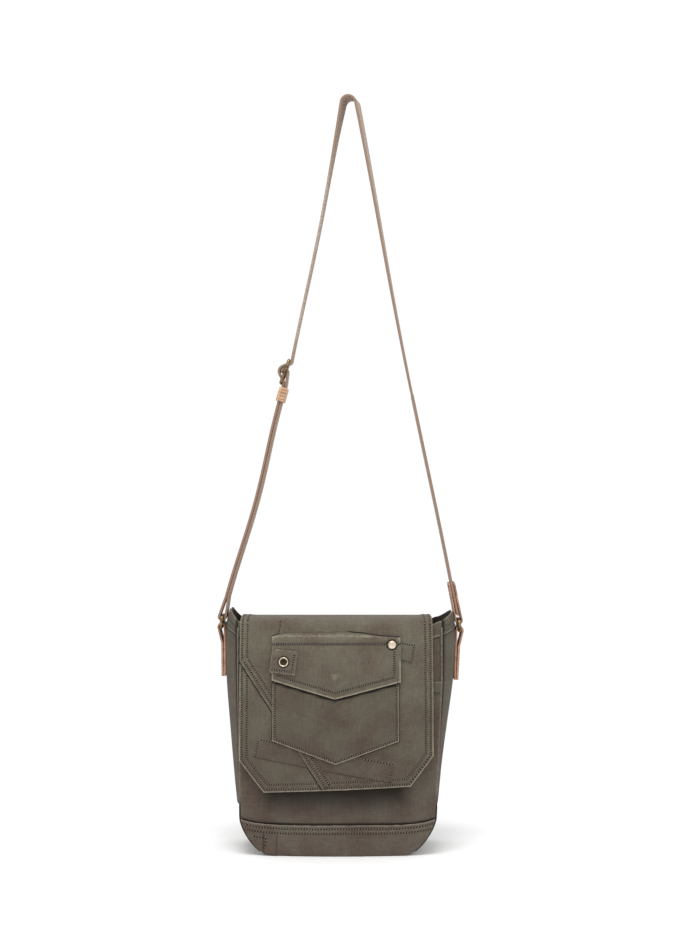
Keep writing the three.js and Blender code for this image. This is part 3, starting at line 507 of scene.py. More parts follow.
hem = BODY_HEIGHT - HEM_HEIGHT
GUSSET_ROWS = steps(GUSSET_SEAM + GAP, hem - 3, 2.4)[:-1] + steps(hem - 3, BODY_HEIGHT, 0.9)
for side, side_name in SIDE_NAMES.items():
    gusset = lay_cloth(
        f"gusset_{side_name}_cloth",
        steps(-36, 36, 1.8),
        GUSSET_ROWS,
        lambda v, z: gusset_at(side, side * v / 36, z, hemmed_lift(z, BODY_HEIGHT)),
        CANVAS,
        body_canvas,
        lambda v, z: hem_wear_and_shade(z, BODY_HEIGHT)
        + 0.45 * line_at(z - GUSSET_SEAM, 1.6)
        # Painted shade: dark along the gusset's front edge, in the gap beside the front wall
        - 0.16 - 1.1 * smooth(31, 35, -side * v),
        inner=lining,
    )
    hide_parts(f"gusset_{side_name}")
    rows = [[(v, z) for v in steps(-0.93, 0.93, 0.1)] for z in (hem + 1.8, hem + 6.2)]
    sew(f"gusset_{side_name}_stitching", rows,
        lambda v, z: gusset_at(side, side * v, z, HEM_RELIEF))

# Bottom strip: canvas laid under the base and turned up both sides, where the gussets' lower edges
# are lapped over it.
SEAM_OVERLAP = 6
outline = [(body_middle(z) - half_width(z), z, -1) for z in steps(GUSSET_SEAM + SEAM_OVERLAP, 0, 1.6)]
outline += [(x, 0, 0) for x in steps(outline[-1][0], body_middle(0) + half_width(0), 6)[1:-1]]
outline += [(body_middle(z) + half_width(z), z, 1) for z in steps(0, GUSSET_SEAM + SEAM_OVERLAP, 1.6)]
run = [0.0]
for (x0, z0, _), (x1, z1, _) in zip(outline, outline[1:]):
    run.append(run[-1] + math.hypot(x1 - x0, z1 - z0))
foot_line = dict(zip(run, outline))


def foot_at(k, v):
    """A place on the bottom strip: k along it, v from -42 in front to 42 at the back."""
    x, z, side = foot_line[k]
    edge = face_depth(-1 if v < 0 else 1, x, z) - CANVAS - GAP
    y = v / 42 * edge
    out = 0
    if side:
        spread = GUSSET_SPREAD * curve_at(GUSSETS[side][1], z / BODY_HEIGHT)
        out = spread * gusset_rise(y, edge) - (CANVAS + GAP) * min(1, z / GUSSET_SEAM)
    return x + side * out, y, z


bottom = lay_cloth("bottom_strip_cloth", run, steps(42, -42, 3), foot_at, CANVAS, body_canvas)
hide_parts("bottom_strip")

# Seams between walls and gussets: the seam allowance is turned and sewn into a narrow round ridge,
# rubbed pale on its crown above about 50 mm and painted dark below, as shade.
WELT = 1.0


def bar_along(bm, frames, radius, sides, closed=False):
    """A round bar through frames, which are matrices whose Z runs along it."""
    section = bmesh.ops.create_circle(bm, segments=sides, radius=radius, matrix=frames[0])["verts"]
    first = edges = list({edge for vert in section for edge in vert.link_edges})
    for here, there in zip(frames, frames[1:]):
        grown = bmesh.ops.extrude_edge_only(bm, edges=edges)["geom"]
        verts = {g for g in grown if isinstance(g, bmesh.types.BMVert)}
        bmesh.ops.transform(bm, matrix=there @ here.inverted(), verts=list(verts))
        edges = [g for g in grown if isinstance(g, bmesh.types.BMEdge) and set(g.verts) <= verts]
    if closed:
        bmesh.ops.bridge_loops(bm, edges=first + edges)
    else:
        bmesh.ops.holes_fill(bm, edges=[edge for edge in bm.edges if edge.is_boundary])
    bmesh.ops.recalc_face_normals(bm, faces=bm.faces)


def finish_piece(bm, name, material):
    """Makes a piece of a bmesh: smooth, on the bag's one body and with the given material."""
    for face in bm.faces:
        face.smooth = True
    piece = made_object(bm, name, material)
    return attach(piece, "root")


def frames_along(line, side):
    """Frames at each point of a line, with Y turned towards side."""
    frames = []
    for i, at in enumerate(line):
        along = (line[min(i + 1, len(line) - 1)] - line[max(i - 1, 0)]).normalized()
        across = along.cross(side).normalized()
        axes = Matrix((across, along.cross(across), along)).transposed().to_4x4()
        frames.append(Matrix.Translation(at) @ axes)
    return frames


def welt(name, front, side):
    """A round ridge beside one edge of the front or back wall, from the rim down to the base."""
    line = []
    for z in steps(BODY_HEIGHT - 4, 4, 3):
        x = body_middle(z) + side * (half_width(z) + 0.5 - 0.7 * smooth(45, 60, z))
        line.append(metres((x, front * (half_depth(z) + (0.9 if front < 0 else -0.4)), z)))
    bm = bmesh.new()
    wear_and_shade = bm.verts.layers.float.new("wear_and_shade")
    bar_along(bm, frames_along(line, Vector((0, 1, 0))), WELT / 1000, 8)
    for vert in bm.verts:
        # Painted shade: the ridge is dark below about 50 mm
        vert[wear_and_shade] = 1.2 * smooth(45, 60, vert.co.z * 1000 + HANG_POINT.z) - 0.95
    return finish_piece(bm, name, body_canvas)


for front, front_name in ((-1, "front"), (1, "back")):
    for side, side_name in SIDE_NAMES.items():
        welt(f"seam_ridge_{front_name}_{side_name}", front, side)

# Front pocket: a second layer over the front wall, open under the flap, with a turned hem.
POCKET_HEIGHT = 169
POCKET_CLOTH = 1.5
POCKET_OUTER = GAP + POCKET_CLOTH


def band_top(u):
    """Upper edge of the folded band across the foot; it turns up at both ends."""
    return 30 + 5 * abs(u) ** 7


pocket = lay_cloth(
    "front_pocket_cloth",
    steps(-RIM_WIDTH / 2, RIM_WIDTH / 2, 2),
    wall_rows(POCKET_HEIGHT),
    lambda u, z: wall_at(-1, 2 * u / RIM_WIDTH, z,
                         POCKET_OUTER + hemmed_lift(z, POCKET_HEIGHT)),
    POCKET_CLOTH,
    body_canvas,
    lambda u, z: 0.5 * line_at(z - POCKET_HEIGHT, 1.2)
    + 0.3 * smooth(98.4, 99.6, abs(u))
    # Painted shade: a dark line beside the flap's left edge, a dark band up to and under the flap's
    # lower edge, and a dark line above the base band
    - 1.4 * smooth(96, 98, -u) * smooth(88, 100, z) * (1 - 0.5 * smooth(138, 150, z))
    - 0.15 - 0.75 * smooth(36, 66, z) * (1 - smooth(62, 84, abs(u + 3)))
    - 1.2 * line_at(z - band_top(2 * u / RIM_WIDTH) - 0.6, 1.2),
)
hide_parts("front_pocket")
sew("front_pocket_stitching", [level_row(POCKET_HEIGHT - HEM_HEIGHT + 2, 0.98)],
    lambda u, z: wall_at(-1, u, z, POCKET_OUTER + HEM_RELIEF))

# Base band: a folded strip of canvas across the foot of the front, with two rows of stitches under
# its upper fold, and a short strip set upright into its left end.
BAND_OUTER = POCKET_OUTER + GAP + POCKET_CLOTH
BAND_ROWS = (3.4, 7.9)
STRIP_LEFT = -73.6
STRIP_RIGHT = -62.6


def band_at(u, below):
    """A place on the band: u across as a share, below its upper edge."""
    z = max(0, band_top(u) - below)
    x = body_middle(z) + u * half_width(z)
    relief = turned_edge(below, BAND_ROWS, 0.35) + pucker(100 * u, below, below, 13)
    # Dents where the band is gathered round the bottom corners
    gather = 0.5 * math.sin(below / 2.1) * smooth(0.8, 0.92, abs(u)) * smooth(4, 9, below)
    strip = smooth(STRIP_LEFT - 0.8, STRIP_LEFT + 0.8, x) * smooth(9, 10.5, below)
    strip *= 1 - smooth(STRIP_RIGHT - 0.8, STRIP_RIGHT + 0.8, x)
    return wall_at(-1, u, z, BAND_OUTER + relief + gather + 0.5 * strip)


def band_wear_and_shade(u, below):
    """Pale along the fold and between the rows; dirt and painted shade in the rows, and painted shade
    beside the upright strip.
    """
    z = band_top(u / 100) * (1 - below / 30)
    x = body_middle(z) + u / 100 * half_width(z)
    beside = 0.7 * line_at(x - STRIP_LEFT + 0.9, 0.9) + 0.5 * line_at(x - STRIP_RIGHT - 0.9, 0.9)
    return (0.5 * line_at(below, 1) + 0.15 * line_at(below - 5.6, 1.2) + row_dirt_and_shade(below, BAND_ROWS)
            - beside * smooth(9, 10.5, below))


band = lay_cloth(
    "base_band_cloth",
    steps(-RIM_WIDTH / 2, RIM_WIDTH / 2, 1.1),
    steps(30, 11, 1.6)[:-1] + steps(11, 0, 0.65),
    lambda u, below: band_at(u / 100, below * band_top(u / 100) / 30),
    POCKET_CLOTH,
    body_canvas,
    band_wear_and_shade,
)
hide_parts("base_band")
rows = [[(u, below) for u in steps(-0.975, 0.975, 0.06)] for below in BAND_ROWS]
rows += [[(-0.95, 14), (-0.84, 14)]]
rows += [[((STRIP_LEFT + 2 - body_middle(30 - below)) / half_width(30 - below), below)
          for below in steps(11, 25, 4)]]
sew("base_band_stitching", rows, band_at, down=True)

# Flap: two layers of the canvas, sun-faded on top, cut with two chamfered corners. Its edge is
# turned and sewn with two rows; it springs off the bag's front and is sewn to the back.
FLAP_WIDTH = 189.2
FLAP_TOP_WIDTH = 187.6
FLAP_DROP = 162.2
FLAP_SHIFT = -3.4
FOLD_HEIGHT = BODY_HEIGHT - 1
DOME_HEIGHT = 5.2
DOME_POWER = 2.7
FLAP_STANDOFF = 8
FLAP_CLOTH = 2.4
BACK_OVERLAP = 26
FLAP_ROWS = (2.3, 7.3)
FLAP_STAND = [(0, 0.22), (0.12, 0.32), (0.3, 0.46), (0.5, 0.5), (0.72, 0.62), (0.88, 0.82), (1, 1)]
# Lower edge, as shares of the flap's width and drop
FLAP_EDGE = [(-0.5, 0.811), (-0.371, 1), (0.38, 0.965), (0.5, 0.783)]
# Its low colour is a painted shade: the flap darkens by about a third towards its lower edge, for the
# light falling from above
flap_canvas = washed_canvas("washed olive cotton canvas, faded", "615d4f", "584d42", "a39986",
                            SOIL_AND_SHADE, (0.67, 0.61, 0.63))


def edge_at(rows, across):
    """Straight lines through rows of (across, drop)."""
    after = next((k for k, row in enumerate(rows) if row[0] > across), len(rows) - 1)
    (a, low), (b, high) = rows[max(0, after - 1)], rows[max(1, after)]
    return low + (high - low) * (across - a) / (b - a)


def front_fold(x, s):
    z = FOLD_HEIGHT - s
    stand = FLAP_STANDOFF * curve_at(FLAP_STAND, s / FLAP_DROP)
    return Vector((x, -face_depth(-1, x, z) - stand, z))


def back_fold(x, s):
    z = FOLD_HEIGHT - BACK_DROP - s
    return Vector((x, face_depth(1, x, z) + HEM_RELIEF + 3 * GAP, z))


def dome_point(front, back, turn):
    """The flap's top, from the front fold over the open rim to the back."""
    cosine = math.cos(turn)
    share = (1 - math.copysign(abs(cosine) ** (2 / DOME_POWER), cosine)) / 2
    rise = DOME_HEIGHT * abs(math.sin(turn)) ** (2 / DOME_POWER)
    return front.lerp(back, share) + Vector((0, 0, rise))


turns = [math.pi * k / 120 for k in range(121)]
dome = [dome_point(front_fold(0, 0), back_fold(0, 0), turn) for turn in turns]
dome_runs = [0.0]
for here, there in zip(dome, dome[1:]):
    dome_runs.append(dome_runs[-1] + (there - here).length)
DOME_LENGTH = dome_runs[-1]


def flap_base(x, s):
    """The flap's inner face: s down the front from the fold, or over the top if negative."""
    if s >= 0:
        return front_fold(x, s)
    if s <= -DOME_LENGTH:
        return back_fold(x, -s - DOME_LENGTH)
    k = min(bisect.bisect_left(dome_runs, -s), 120)
    share = (-s - dome_runs[k - 1]) / (dome_runs[k] - dome_runs[k - 1])
    turn = turns[k - 1] + (turns[k] - turns[k - 1]) * share
    return dome_point(front_fold(x, 0), back_fold(x, 0), turn)


def flap_normal(x, s, reach=0.6):
    across = flap_base(x + reach, s) - flap_base(x - reach, s)
    down = flap_base(x, s + reach) - flap_base(x, s - reach)
    return down.cross(across).normalized()


def flap_slack(x, s):
    """Soft creases left in the flap by washing and folding."""
    at = Vector((x, 0, s))
    broad = noise.noise(at / 38 + Vector((1.3, 5.1, 2.2)))
    small = noise.noise(Vector((x / 16, 3.3, s / 11)))
    low = smooth(FLAP_DROP - 40, FLAP_DROP, s)
    return ((0.75 + 0.8 * low) * broad + 0.3 * small + 0.8) * smooth(-4, 22, s)


def flap_at(x, s, lift=0.0):
    """A place above the flap's inner face, creases and all."""
    return flap_base(x, s) + flap_normal(x, s) * (lift + flap_slack(x, s))


def inside(corners, x, s):
    """How far a place lies inside a shape with these corners, listed clockwise as seen."""
    found = 1e9
    for (x0, s0), (x1, s1) in zip(corners, corners[1:] + corners[:1]):
        length = math.hypot(x1 - x0, s1 - s0)
        found = min(found, ((x1 - x0) * (s - s0) - (s1 - s0) * (x - x0)) / length)
    return found


def inset(corners, distance):
    """The corners moved in by a distance, for a row of stitches along them."""
    lines = []
    for (x0, s0), (x1, s1) in zip(corners, corners[1:]):
        way = Vector((x1 - x0, s1 - s0)).normalized()
        inward = Vector((-way.y, way.x)) * distance
        lines.append((Vector((x0, s0)) + inward, way))
    met = [p + v * ((q - p).cross(w) / v.cross(w)) for (p, v), (q, w) in zip(lines, lines[1:])]
    last = Vector(corners[-1]) + Vector((-lines[-1][1].y, lines[-1][1].x)) * distance
    return [tuple(point) for point in [lines[0][0], *met, last]]


def chain(points, longest=7):
    """A line of places with extra ones between them, so that stitches follow a bend."""
    line = [points[0]]
    for (a0, b0), (a1, b1) in zip(points, points[1:]):
        count = max(1, math.ceil(math.hypot(a1 - a0, b1 - b0) / longest))
        line += [(a0 + (a1 - a0) * k / count, b0 + (b1 - b0) * k / count)
                 for k in range(1, count + 1)]
    return line


BACK_END = -(DOME_LENGTH + BACK_OVERLAP)


# Corners from the top left round by the right, as the flap is seen from the front
flap_corners = [
    (FLAP_SHIFT - FLAP_TOP_WIDTH / 2, BACK_END),
    (FLAP_SHIFT + FLAP_TOP_WIDTH / 2, BACK_END),
    (FLAP_SHIFT + FLAP_TOP_WIDTH / 2, 0),
    *((FLAP_SHIFT + share * FLAP_WIDTH, drop * FLAP_DROP) for share, drop in reversed(FLAP_EDGE)),
    (FLAP_SHIFT - FLAP_TOP_WIDTH / 2, 0),
]


def flap_edge(x, s):
    """Distance in from the flap's edge, all round."""
    return inside(flap_corners, x, s)


def flap_place(u, v):
    """Grid place to flap place: u across the widest part, v down the front or up over the top."""
    share = u / FLAP_WIDTH
    low = min(max(v / FLAP_DROP, 0), 1)
    width = FLAP_TOP_WIDTH + (FLAP_WIDTH - FLAP_TOP_WIDTH) * low
    return FLAP_SHIFT + share * width, v * edge_at(FLAP_EDGE, share) if v > 0 else v


def flap_relief(x, s):
    e = flap_edge(x, s)
    return turned_edge(e, FLAP_ROWS, 0.4) + pucker(x, s, e, 14)


def flap_face(x, s):
    """The flap's outer face, where stitches and patches lie."""
    return flap_at(x, s, FLAP_CLOTH + flap_relief(x, s))


# What is sewn on the flap is placed by shares of its cut width and of its drop
CUT_WIDTH = 187.5
CUT_MIDDLE = -3.9


def flap_spot(across, drop):
    return CUT_MIDDLE + across * CUT_WIDTH, drop * FLAP_DROP


POCKET_WIDTH = 122.1
POCKET_EDGE = [(-0.5, 0.692), (0, 0.831), (0.5, 0.694)]
POCKET_TOP = 0.14
POCKET_LIFT = FLAP_CLOTH + 1.1
FLAP_POCKET_CLOTH = 1.2
POCKET_PUFF = 1.6
POCKET_ROW = 2.3
pocket_x, pocket_s = flap_spot(0, POCKET_TOP)
pocket_corners = [
    (pocket_x - POCKET_WIDTH / 2, pocket_s),
    (pocket_x + POCKET_WIDTH / 2, pocket_s),
    (pocket_x + POCKET_WIDTH / 2, POCKET_EDGE[2][1] * FLAP_DROP),
    (pocket_x, POCKET_EDGE[1][1] * FLAP_DROP),
    (pocket_x - POCKET_WIDTH / 2, POCKET_EDGE[0][1] * FLAP_DROP),
]

COVER_WIDTH = 124
COVER_EDGE = [(-0.5, 0.331), (-0.01, 0.441), (0.5, 0.34)]
COVER_ROW = 6.0
COVER_RIDGE = 1.3
# How far the pinched top of the pocket's flap rises over its corners
COVER_TOP = [(-0.5, -0.3), (-0.39, 2.8), (-0.05, 3.0), (0.03, 3.8), (0.2, 2.4), (0.33, 0), (0.5, -1.4)]
cover_x, cover_s = flap_spot(0.003, 0.068)
cover_corners = [
    (cover_x - COVER_WIDTH / 2, cover_s),
    (cover_x + COVER_WIDTH / 2, cover_s),
    (cover_x + COVER_WIDTH / 2, COVER_EDGE[2][1] * FLAP_DROP),
    (cover_x - 0.01 * COVER_WIDTH, COVER_EDGE[1][1] * FLAP_DROP),
    (cover_x - COVER_WIDTH / 2, COVER_EDGE[0][1] * FLAP_DROP),
]


def cover_top(across):
    return cover_s - curve_at(COVER_TOP, across / COVER_WIDTH)


SEAM_WIDTH = 12
SEAM_ROWS = (3.6, 8.0)
seam_start = Vector(flap_spot(-0.488, 0.212))
seam_end = Vector(flap_spot(-0.058, 0.972))
seam_way = (seam_end - seam_start).normalized()
seam_across = Vector((seam_way.y, -seam_way.x))
SEAM_SHADE_STRIP = 1.2
seam_start -= seam_across * 2.2
seam_end -= seam_across * 2.2
SEAM_LENGTH = (seam_end - seam_start).length


def flap_wear_and_shade(x, s):
    """Pale along the edge and on the ridge between its rows of stitches, which hold dirt and painted
    shade.
    """
    e = flap_edge(x, s)
    grain = 0.5 + noise.noise(Vector((x, s, 0)) / 3)
    ridges = 0.2 * line_at(e - 4.8, 1.3) * grain
    side_edge = 0.5 + 0.25 * smooth(0.6 * FLAP_DROP, 0.8 * FLAP_DROP, s)
    return side_edge * line_at(e, 0.9) + ridges + row_dirt_and_shade(e, FLAP_ROWS)


half = FLAP_WIDTH / 2
flap_columns = sorted(
    set(steps(-half, -half + 9, 0.9) + steps(-half + 9, half - 9, 2.2) + steps(half - 9, half, 0.9)
        + [share * FLAP_WIDTH for share, _ in FLAP_EDGE[1:3]])
)
flap_rows = [row * FLAP_DROP for row in steps(1, 0.92, 0.0052)[:-1] + steps(0.92, 0, 0.0125)[:-1]]
flap_rows += steps(0, -DOME_LENGTH, 1.6)[:-1] + steps(-DOME_LENGTH, BACK_END + 8, 2.4)[:-1]
flap_rows += steps(BACK_END + 8, BACK_END, 1)


def flap_grid(u, v):
    x, s = flap_place(u, v)
    return flap_face(x, s)


flap = lay_cloth(
    "flap_cloth", flap_columns, flap_rows, flap_grid, FLAP_CLOTH, flap_canvas,
    lambda u, v: flap_wear_and_shade(*flap_place(u, v)), edge=0.3,
)
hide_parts("flap")
border = flap_corners[1:] + flap_corners[:1]
rows = [chain(inset(border, distance)) for distance in FLAP_ROWS]
rows += [
    chain([(FLAP_SHIFT - 84, BACK_END + drop), (FLAP_SHIFT + 84, BACK_END + drop)])
    for drop in FLAP_ROWS
]
sew("flap_stitching", rows, flap_face, down=True)

# Diagonal seam: the flap's left part is felled under its right part. The fold makes a sharp edge on
# the left, with a line of painted shade beside it; two rows of stitches hold it down.
def seam_spot(across, along):
    return seam_start + seam_way * along + seam_across * across


def seam_lift(across):
    """The folded edge stands 1 mm proud of the low strip beside it, which is painted dark as shade,
    and the layer fades into the flap on the other side."""
    if across < 0:
        return 0.3
    return 1 - smooth(2, SEAM_WIDTH, across) - 0.28 * sum(
        line_at(across - row, 0.8) for row in SEAM_ROWS
    )


def seam_face(across, along):
    x, s = seam_spot(across, along)
    waves = pucker(x, s, 0, 2)
    return flap_at(x, s, FLAP_CLOTH + flap_relief(x, s) + seam_lift(across) + waves)


seam = lay_cloth(
    "diagonal_seam_fold",
    [-SEAM_SHADE_STRIP, -0.3] + steps(0, 2, 0.7)[:-1] + steps(2, SEAM_WIDTH, 0.9),
    steps(SEAM_LENGTH, 0, 1.6),
    seam_face, 1.1, flap_canvas,
    # Painted shade: the strip left of the fold is dark
    lambda across, along: -1.2 if across < 0 else 0.25 * line_at(across - 0.5, 0.8)
    + 0.15 * line_at(across - 5.8, 1.2) + row_dirt_and_shade(across, SEAM_ROWS),
)
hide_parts("diagonal_seam")
rows = [[(row, a) for a in steps(1.5, SEAM_LENGTH - 1, 7)] for row in SEAM_ROWS]
sew("diagonal_seam_stitching", rows, seam_face, down=True)

# Strips: two straight bands of the same canvas, sewn flat on to the flap at a slight tilt. The
# pocket covers the middle of both, and the seam splits the lower one.
STRIP_LENGTH = 136
STRIP_WIDTH = 20
STRIP_TILT = math.radians(10.5)
STRIP_CLOTH = 0.8
strip_way = Vector((math.cos(STRIP_TILT), math.sin(STRIP_TILT)))
strip_down = Vector((-strip_way.y, strip_way.x))


def strip_face(centre, a, b):
    """A place on a strip: a along from its middle, b down from its middle."""
    x, s = centre + strip_way * a + strip_down * b
    e = min(STRIP_LENGTH / 2 - abs(a), STRIP_WIDTH / 2 - abs(b))
    groove = -0.25 * line_at(e - 2, 0.8)
    return flap_at(x, s, FLAP_CLOTH + flap_relief(x, s) + 0.62 * smooth(-0.3, 0.7, e) + groove)


def strip_wear_and_shade(a, b):
    e = min(STRIP_LENGTH / 2 - abs(a), STRIP_WIDTH / 2 - abs(b))
    # Pale round the edge; painted shade in a dark line along the lower edge
    return 0.15 * line_at(e, 0.9) - 0.75 * line_at(STRIP_WIDTH / 2 - b, 0.9) * STRIP_EDGE_SHADE[name]


STRIPS = {
    "patch_upper": (Vector(flap_spot(0.053, 0.1)), -STRIP_LENGTH / 2, STRIP_LENGTH / 2),
    "patch_lower_left": (Vector(flap_spot(-0.06, 0.809)), -STRIP_LENGTH / 2, None),
    "patch_lower_right": (Vector(flap_spot(-0.06, 0.809)), None, STRIP_LENGTH / 2),
}
# How dark the painted shade along the lower edge is, and where stitches show along the long edges
STRIP_EDGE_SHADE = {"patch_upper": 0.2, "patch_lower_left": 1, "patch_lower_right": 1}
STRIP_ROWS = {
    "patch_upper": [(-8.2, -2, 66), (8.2, 52, 66)],
    "patch_lower_left": [(-8.2, -66, -50)],
    "patch_lower_right": [(-8.2, 36, 66)],
}


def seam_crossing(centre, b, beside):
    """Where a strip's line at b crosses a line beside the diagonal seam."""
    start, line = centre + strip_down * b, seam_start + seam_across * beside
    return (line - start).cross(seam_way) / strip_way.cross(seam_way)


for name, (centre, left, right) in STRIPS.items():
    along = steps(0, STRIP_LENGTH, 2)
    down = steps(STRIP_WIDTH / 2, STRIP_WIDTH / 2 - 3.5, 0.7)[:-1]
    down += steps(STRIP_WIDTH / 2 - 3.5, 3.5 - STRIP_WIDTH / 2, 2)[:-1]
    down += steps(3.5 - STRIP_WIDTH / 2, -STRIP_WIDTH / 2, 0.7)

    def strip_spot(a, b):
        start = seam_crossing(centre, b, SEAM_WIDTH - 1) if left is None else left
        end = seam_crossing(centre, b, -0.6) if right is None else right
        return start + (end - start) * a / STRIP_LENGTH, b

    strip = lay_cloth(
        name + "_cloth", along, down, lambda a, b: strip_face(centre, *strip_spot(a, b)),
        STRIP_CLOTH, flap_canvas, lambda a, b: strip_wear_and_shade(*strip_spot(a, b)),
    )
    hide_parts(name)
    length = sum(abs(strip_spot(STRIP_LENGTH, b)[0] - strip_spot(0, b)[0]) for b in (-8, 8)) / 2
    ends = [end for end in (left, right) if end is not None]
    rows = [chain([(end * 0.972, -8.2), (end * 0.972, 8.2)], 5) for end in ends]
    rows += [chain([(start, b), (stop, b)]) for b, start, stop in STRIP_ROWS[name]]
    sew(name + "_stitching", rows, lambda a, b: strip_face(centre, a, b), down=True)

# Flap pocket: a patch pocket with a pointed foot, puffed a little, edge-stitched on three sides.
def pocket_puff(x, s):
    u = 2 * (x - pocket_x) / POCKET_WIDTH
    drop = edge_at(POCKET_EDGE, min(max(u / 2, -0.5), 0.5)) * FLAP_DROP
    v = min(max((s - pocket_s) / (drop - pocket_s), 0), 1)
    return POCKET_PUFF * max(0, 1 - u * u) * math.sin(math.pi * v**0.8)


def pocket_face(x, s):
    e = inside(pocket_corners, x, s)
    if e < -0.1:
        return flap_at(x, s, FLAP_CLOTH + 0.3 + flap_relief(x, s))
    relief = turned_edge(e, (POCKET_ROW,), 0.3) + pucker(x, s, e, 8)
    return flap_at(x, s, POCKET_LIFT + FLAP_POCKET_CLOTH + pocket_puff(x, s) + relief)


def pocket_wear_and_shade(x, s):
    """Pale round the edge; painted shade in the strip round the pocket and just below the pocket's
    flap; dirt and painted shade in the row of stitches.
    """
    e = inside(pocket_corners, x, s)
    low = smooth(0.66 * FLAP_DROP, 0.7 * FLAP_DROP, s)
    if e < -0.1:
        return -0.7 - 0.7 * low
    shade = -1.2 * smooth(-3.2, -1.2, inside(cover_corners, x, s))
    shade += row_dirt_and_shade(e, (POCKET_ROW,)) - 0.15 * smooth(0.5, 3, e)
    return (0.45 + 0.35 * low) * line_at(e, 0.8) + shade


def pointed_place(top_x, top_s, width, edge, u, v):
    """Grid place to flap place on a piece with a pointed foot; v is 100 at the foot."""
    drop = edge_at(edge, u / width) * FLAP_DROP
    top = cover_top(u) if width == COVER_WIDTH else top_s
    return top_x + u, top + (drop - top) * v / 100


def pointed_columns(width, band):
    half = width / 2
    return sorted(set(steps(-half, -half + band, 0.9) + steps(-half + band, half - band, 2.2)
                      + steps(half - band, half, 0.9) + [0.0]))


def pocket_place(u, v):
    return pointed_place(pocket_x, pocket_s, POCKET_WIDTH, POCKET_EDGE, u, v)


def cover_place(u, v):
    return pointed_place(cover_x, cover_s, COVER_WIDTH, COVER_EDGE, u, v)


# A low strip 1 mm wide runs round the pocket, painted dark as shade at the pocket's edge
POCKET_SHADE_STRIP = 1.1
shade_strip_columns = [POCKET_WIDTH / 2 + out for out in (0.3, POCKET_SHADE_STRIP)]
pocket_columns = [-out for out in reversed(shade_strip_columns)] + pointed_columns(POCKET_WIDTH, 5)
pocket_columns += shade_strip_columns
pocket_rows = [100 + POCKET_SHADE_STRIP, 100.3] + steps(100, 94, 0.9)[:-1] + steps(94, 0, 2.2)
flap_pocket = lay_cloth(
    "flap_pocket_cloth", pocket_columns, pocket_rows,
    lambda u, v: pocket_face(*pocket_place(u, v)), FLAP_POCKET_CLOTH, flap_canvas,
    lambda u, v: pocket_wear_and_shade(*pocket_place(u, v)),
)
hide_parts("flap_pocket")
sew("flap_pocket_stitching", [chain(inset(pocket_corners[1:] + pocket_corners[:1], POCKET_ROW))],
    pocket_face, down=True)

# Pocket flap: a pointed flap over the pocket's mouth, its top folded under and sewn in a pinched
# ridge, with one row of stitches 6 mm in from its free edges.
def cover_lift(x, s):
    """The pocket's flap rises over the pocket below it, with a ridge along its own seam."""
    u = min(max(2 * (x - cover_x) / COVER_WIDTH, -1), 1)
    drop = edge_at(COVER_EDGE, u / 2) * FLAP_DROP
    v = min(max((s - cover_s) / (drop - cover_s), 0), 1)
    ridge = COVER_RIDGE * math.sin(math.pi * min(max(v / 0.16, 0), 1))
    low = POCKET_LIFT + ridge * (1 - u * u)
    puff = POCKET_PUFF * (0.35 + 0.65 * (1 - u * u)) * min(1, 1.6 * v)
    high = POCKET_LIFT + FLAP_POCKET_CLOTH + GAP + puff
    over = smooth(0.02, 0.22, v)
    return low + (high - low) * over


def cover_face(x, s):
    e = inside(cover_corners, x, s)
    below = s - cover_s
    if s < cover_top(x - cover_x) - 0.1:
        return flap_at(x, s, FLAP_CLOTH + 0.3 + flap_relief(x, s))
    seam_groove = 0.7 * line_at(below - 8, 1.2)
    pinch = 0.4 * noise.noise(Vector((x / 7, 0, s / 2.5))) * (1 - smooth(7, 15, below))
    relief = turned_edge(max(e, 0), (COVER_ROW,), 0.35) + pucker(x, s, e, 12) - seam_groove + pinch
    return flap_at(x, s, cover_lift(x, s) + FLAP_POCKET_CLOTH + relief)


def cover_wear_and_shade(x, s):
    """Pale edges, ridge, corners and one rubbed spot; painted shade above the top fold and round the
    rivet and the eyelet; dirt and painted shade along the seam and in the row of stitches.
    """
    e = inside(cover_corners, x, s)
    below = s - cover_s
    if s < cover_top(x - cover_x) - 0.1:
        # The flap just above the top fold is painted dark as shade
        return -1.1
    spot = 0.5 * line_at(math.hypot(x - cover_x + 1, s - 50), 2.6)
    ridge = 0.2 * line_at(s - cover_top(x - cover_x) - 2.2, 1.5)
    ridge *= 0.8 + noise.noise(Vector((x, s, 1)) / 6)
    corner = 0.5 * line_at(abs(abs(x - cover_x) - COVER_WIDTH / 2) + abs(below), 4)
    seam_dirt_and_shade = -0.8 * line_at(below - 8, 1.1)
    rivet_base_shade = -1.3 * line_at(math.hypot(x - rivet_spot[0], s - rivet_spot[1]) - 4.6, 0.8)
    eyelet_hole_shade = -0.8 * line_at(math.hypot(x - eyelet_spot.x, s - eyelet_spot.y), 4.4)
    low = 0.55 * smooth(30, 40, s) * line_at(e, 1.2)
    low += row_dirt_and_shade(e, (COVER_ROW,)) * smooth(13, 20, below)
    return low + 0.3 * line_at(e, 1.2) + spot + ridge + corner + seam_dirt_and_shade + rivet_base_shade + eyelet_hole_shade


